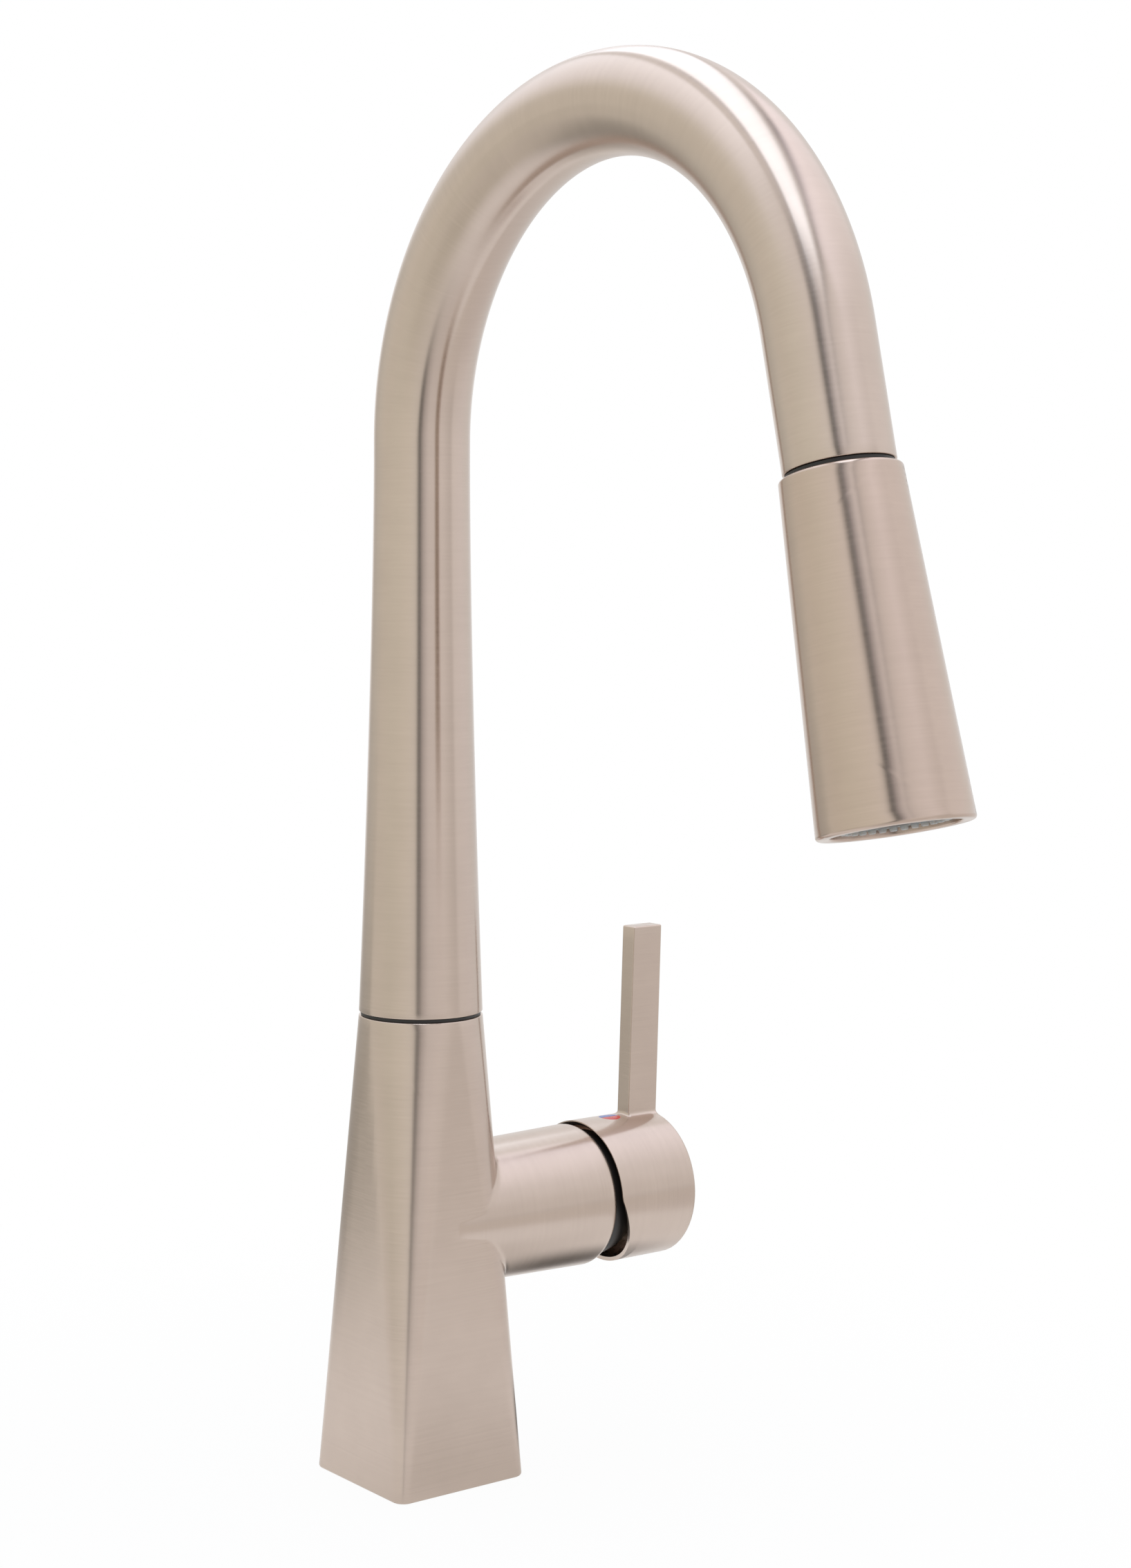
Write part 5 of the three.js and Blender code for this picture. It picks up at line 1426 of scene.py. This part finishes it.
def tones_over(owner, turn, full, tones):
    """The tone at a turn, 0.5 of the way along a ramp whose stops are in degrees and which covers
    full degrees in all."""
    ramp = node(owner, "ValToRGB", turn)
    elements = ramp.color_ramp.elements
    while len(elements) < len(tones):
        elements.new(0.5)
    for element, (degrees, tone) in zip(elements, tones):
        element.position = degrees / full + 0.5
        element.color = (*tone, 1)
    return ramp.outputs["Color"]


def smooth_step(owner, value, start, end):
    """0 at the start, 1 at the end and a smooth rise between; the end may lie below the start."""
    return mapped(owner, value, {"From Min": start, "From Max": end}, interpolation_type="SMOOTHSTEP")


def blend_colours(owner, share, first, second, mode="MIX"):
    """Two colours blended by a share, or multiplied with the second's strength as the share."""
    mix = node(owner, "Mix", data_type="RGBA", blend_type=mode, Factor=share, A=first, B=second)
    return mix.outputs["Result"]


def seen_from_camera(owner, direction):
    """A direction's parts towards the camera, to its right and up, and its compass turn as a share
    of a full turn, 0.5 towards the camera."""
    turned_way = node(owner, "VectorRotate", rotation_type="Z_AXIS", Vector=direction,
                      Angle=-CAMERA_BEARING)
    parts = node(owner, "SeparateXYZ", turned_way.outputs["Vector"])
    ahead, right, up = (parts.outputs[axis] for axis in "XYZ")
    turn = math(owner, "MULTIPLY_ADD", math(owner, "ARCTAN2", right, ahead), 0.5 / PI, 0.5)
    return ahead, right, up, turn


def ray_kinds(owner):
    """1 for glossy and transmission rays, otherwise 0; and the same for camera rays."""
    rays = node(owner, "LightPath").outputs
    mirrors = math(owner, "MAXIMUM", rays["Is Glossy Ray"], rays["Is Transmission Ray"])
    return mirrors, rays["Is Camera Ray"]


# %% [markdown]
# The world has three faces. Camera rays see white. Mirror rays see the walls, and higher up a roof
# whose tone depends on how far a direction leans to the side: warm grey low down, white above, with
# a thin dark seam on either side of the white strip overhead. All other rays see a dim, even white
# that fills the shadows.

# %% The world
FILL_LEVEL = 0.62
WHITE = (1, 1, 1, 1)
ROOF_TONES = (  # degrees that a direction leans to the side from straight up, and the tone there
    (-90, (0.82, 0.81, 0.73)), (-80, (0.87, 0.86, 0.78)), (-70, (0.92, 0.92, 0.85)),
    (-60, (0.96, 0.96, 0.92)), (-52, PLAIN), (90, (1, 0.99, 1)))
SEAM_SHADE = (
    (-90, PLAIN), (-19.5, PLAIN), (-16.5, (0.7, 0.71, 0.75)), (-14, PLAIN), (15, PLAIN),
    (18, (0.22, 0.21, 0.23)), (21.5, (0.25, 0.24, 0.26)), (25, PLAIN), (90, PLAIN))
# Heights of a direction, as its upward part, between which a tone comes in or goes out.
ROOF_IN, GAP_OUT = (0.12, 0.5), (0.55, 0.4)
HIGH_GAP_IN, HIGH_GAP_OUT = (0.31, 0.42), (0.8, 0.6)
SEAMS_IN = (-0.45, -0.25)  # the same for the part towards the camera


def light_world():
    world = bpy.data.worlds.new("studio")
    scene.world = world
    world.use_nodes = True
    world.node_tree.nodes.clear()
    ahead, right, up, turn = seen_from_camera(world, node(world, "TexCoord").outputs["Generated"])
    leaning = math(world, "MULTIPLY_ADD", math(world, "ARCTAN2", right, up), 1 / PI, 0.5)
    roof, seams = (tones_over(world, leaning, 180, tones) for tones in (ROOF_TONES, SEAM_SHADE))
    roof = blend_colours(world, smooth_step(world, ahead, *SEAMS_IN), roof, seams, "MULTIPLY")
    mirrored = blend_colours(world, smooth_step(world, up, *ROOF_IN),
                             tones_over(world, turn, 360, WALL_TONES), roof)
    turn = math(world, "MULTIPLY_ADD", up, GAP_LEAN / 360, turn)
    high_gap = math(world, "MULTIPLY", smooth_step(world, up, *HIGH_GAP_IN),
                    smooth_step(world, up, *HIGH_GAP_OUT))
    low_gap = smooth_step(world, up, *GAP_OUT)
    for share, shade in ((low_gap, GAP_SHADE), (high_gap, HIGH_GAP_SHADE)):
        mirrored = blend_colours(world, share, mirrored, tones_over(world, turn, 360, shade), "MULTIPLY")
    mirrors, camera_ray = ray_kinds(world)
    fill = blend_colours(world, mirrors, (*[FILL_LEVEL] * 3, 1), mirrored)
    seen = blend_colours(world, camera_ray, fill, WHITE)
    background = node(world, "Background", Color=seen, Strength=1.0)
    node(world, "OutputWorld", background.outputs[0])


light_world()

# %% [markdown]
# The floor is white where the faucet stands. Camera rays see it as white with a trace of the
# object's shadow close to the foot. Mirror rays see a white table round the foot with three soft
# shadows on it, a dark one under the valve and two faint ones beside the foot. Past the table's
# edge lies a dimmer floor, which takes the tones of the walls further out.

# %% The floor
FLOOR_HALF = 6.0
FLOOR_SHADOW, SHADOW_FROM = 0.045, (0.05, 0.36)
FLOOR_TONES = (
    (-180, (0.9, 0.89, 0.86)), (-168, (0.6, 0.58, 0.54)), (-150, (0.47, 0.46, 0.43)),
    (-114, (0.4, 0.4, 0.37)), (-109.5, (0.46, 0.46, 0.42)), (-107, (0.76, 0.75, 0.69)),
    (-102, (0.83, 0.82, 0.76)), (-86, (0.8, 0.78, 0.72)), (-60, (0.7, 0.69, 0.61)),
    (-18, (0.86, 0.85, 0.8)), (18, (0.8, 0.78, 0.76)), (28, (0.82, 0.79, 0.76)),
    (60, (0.82, 0.79, 0.75)), (95, (0.82, 0.79, 0.77)), (150, (0.84, 0.83, 0.82)),
    (180, (0.9, 0.89, 0.86)))
WALLS_BELOW = 0.93  # how bright the walls look where they run down behind the floor
WALLS_FROM, GAP_FROM = (0.6, 1.9), (0.2, 1.2)  # metres out at which their tones come in
TABLE_SHADOWS = (  # place, inner and outer radius in metres, and the darkest tone
    ((0.088, 0.012, 0), 0.008, 0.055, (0.15, 0.145, 0.14, 1)),
    ((0.032, -0.059, 0), 0.02, 0.09, (0.84, 0.83, 0.82, 1)),
    ((-0.02, -0.04, 0), 0.02, 0.12, (0.9, 0.89, 0.87, 1)))
TABLE_RADIUS = 0.235
EDGE_SOFTNESS = 0.03  # how far the round edge fades either way, as a share of its radius
LEFT_START, LEFT_END = 0.15, 0.42  # where the table fades out on the left
RIGHT_EDGE = (-0.4, 0.915, 0.202)  # a straight edge: ahead and right parts of its normal, distance
RIGHT_FROM = (0.5 + 42 / 360, 0.5 + 55 / 360)  # turns at which the straight edge takes over
SIDE_BLEND, EDGE_BLUR = 0.1, 0.005  # metres on either side of the middle and of that edge


def far_floor(floor, away, turn):
    """The tones past the table, which go over into the walls' further out, and the dark gap."""
    below = [(degrees, tuple(WALLS_BELOW * part for part in tone)) for degrees, tone in WALL_TONES]
    far = blend_colours(floor, smooth_step(floor, away, *WALLS_FROM),
                        *(tones_over(floor, turn, 360, tones) for tones in (FLOOR_TONES, below)))
    return blend_colours(floor, smooth_step(floor, away, *GAP_FROM), far,
                         tones_over(floor, turn, 360, GAP_SHADE), "MULTIPLY")


def white_table(floor, place):
    """White, darkened by each of the soft round shadows."""
    table = WHITE
    for centre, near, far, dark in TABLE_SHADOWS:
        gone = node(floor, "VectorMath", place, centre, operation="DISTANCE").outputs["Value"]
        shade = blend_colours(floor, smooth_step(floor, gone, near, far), dark, WHITE)
        table = blend_colours(floor, 1.0, table, shade, "MULTIPLY")
    return table


def past_the_edge(floor, ahead, right, away, turn):
    """0 on the table and 1 past it: a round edge that fades slowly on the left, and the straight
    edge on the right."""
    on_left = math(floor, "SUBTRACT", 1.0, smooth_step(floor, right, -SIDE_BLEND, SIDE_BLEND))
    start, end = (math(floor, "MULTIPLY_ADD", on_left, left - edge, edge) for left, edge in (
        (LEFT_START, TABLE_RADIUS * (1 - EDGE_SOFTNESS)), (LEFT_END, TABLE_RADIUS * (1 + EDGE_SOFTNESS))))
    ahead_part, right_part, distance = RIGHT_EDGE
    across = math(floor, "MULTIPLY_ADD", ahead, ahead_part, math(floor, "MULTIPLY", right, right_part))
    straight = smooth_step(floor, across, distance - EDGE_BLUR, distance + EDGE_BLUR)
    on_right = smooth_step(floor, turn, *RIGHT_FROM)
    return math(floor, "MAXIMUM", straight, math(
        floor, "MULTIPLY", smooth_step(floor, away, start, end), math(floor, "SUBTRACT", 1.0, on_right)))


def floor_material():
    floor, shader = new_material("pale_floor")
    shader.inputs["Base Color"].default_value = (0.86, 0.86, 0.86, 1)
    shader.inputs["Roughness"].default_value = 0.9
    place = node(floor, "TexCoord").outputs["Object"]
    ahead, right, _, turn = seen_from_camera(floor, place)
    away = node(floor, "VectorMath", place, operation="LENGTH").outputs["Value"]
    mirrored = blend_colours(floor, past_the_edge(floor, ahead, right, away, turn),
                             white_table(floor, place), far_floor(floor, away, turn))
    mirrors, camera_ray = ray_kinds(floor)
    glow = node(floor, "Emission", blend_colours(floor, mirrors, WHITE, mirrored), 1.0)
    shadowed = math(floor, "MULTIPLY_ADD", smooth_step(floor, away, *SHADOW_FROM),
                    FLOOR_SHADOW, 1 - FLOOR_SHADOW)
    share = math(floor, "MAXIMUM", mirrors, math(floor, "MULTIPLY", camera_ray, shadowed))
    mix = node(floor, "MixShader", share, shader.outputs["BSDF"], glow.outputs[0])
    output = next(n for n in floor.node_tree.nodes if n.type == "OUTPUT_MATERIAL")
    plug(floor, output.inputs["Surface"], mix.outputs[0])
    return floor


def add_floor():
    mesh = bpy.data.meshes.new("floor")
    corners = [(x * FLOOR_HALF, y * FLOOR_HALF, 0) for x, y in ((-1, -1), (1, -1), (1, 1), (-1, 1))]
    mesh.from_pydata(corners, [], [(0, 1, 2, 3)])
    mesh.materials.append(floor_material())
    floor = bpy.data.objects.new("floor", mesh)
    scene.collection.objects.link(floor)


add_floor()

# %% [markdown]
# Three lamps hang overhead: a long strip along the direction of view and a soft box on either side
# of it. The strip draws the white band on top of the gooseneck. The soft boxes are brightest next
# to the strip and fade towards their outer, lower edges, so the walls brighten gently upwards. A
# lamp of area A that should look as bright as radiance L gives off PI x A x L watts.

# %% Lamps
AIM = Vector((0, -0.06, 0.3))
TO_CAMERA = Vector((np.cos(CAMERA_BEARING), np.sin(CAMERA_BEARING), 0))
TO_RIGHT = Vector((-TO_CAMERA.y, TO_CAMERA.x, 0))


def along_view(ahead, sideways, height):
    """A place over the faucet: so far towards the camera, so far to its right, and so high."""
    return AIM * Vector((1, 1, 0)) + TO_CAMERA * ahead + TO_RIGHT * sideways + Vector((0, 0, height))


def hang_lamp(name, place, facing, width, length, radiance, colour, fade=None):
    """An area lamp whose width lies across the direction of view. With fade, its glow falls off
    evenly over the width: from 1 to 0 where fade is "left", and from 0 to 1 where it is "right"."""
    lamp = bpy.data.lights.new(name, "AREA")
    lamp.shape = "RECTANGLE"
    lamp.size, lamp.size_y = width, length
    lamp.color = colour
    lamp.energy = PI * width * length * radiance
    thing = bpy.data.objects.new(name, lamp)
    scene.collection.objects.link(thing)
    back = (place - facing).normalized()
    across = TO_CAMERA.cross(back).normalized()
    axes = Matrix((across, back.cross(across), back)).transposed()
    thing.matrix_world = Matrix.Translation(place) @ axes.to_4x4()
    if fade:
        lamp.use_nodes = True
        glow = next(n for n in lamp.node_tree.nodes if n.type == "EMISSION")
        parts = node(lamp, "SeparateXYZ", node(lamp, "NewGeometry").outputs["Parametric"])
        share = parts.outputs["X"]
        plug(lamp, glow.inputs["Strength"],
             math(lamp, "SUBTRACT", 1.0, share) if fade == "left" else share)


SOFT_BOX = (1.21, 2.6)  # width and length of each soft box in metres
hang_lamp("strip_lamp", along_view(-0.2, 0.01, 1.75), along_view(-0.2, 0.01, 0.4), 0.66, 3.6, 1.35,
          (0.7, 0.83, 1.0))
hang_lamp("left_soft_box", along_view(-0.4, -1.06, 1.415), AIM, *SOFT_BOX, 0.74,
          (0.74, 0.83, 1.0), "left")
hang_lamp("right_soft_box", along_view(0, 1.06, 1.415), AIM, *SOFT_BOX, 0.72,
          (0.8, 0.8, 1.0), "right")

# %% [markdown]
# ## Colour
#
# The Standard view transform shows colours as they are.

# %% Finish
scene.view_settings.view_transform = "Standard"
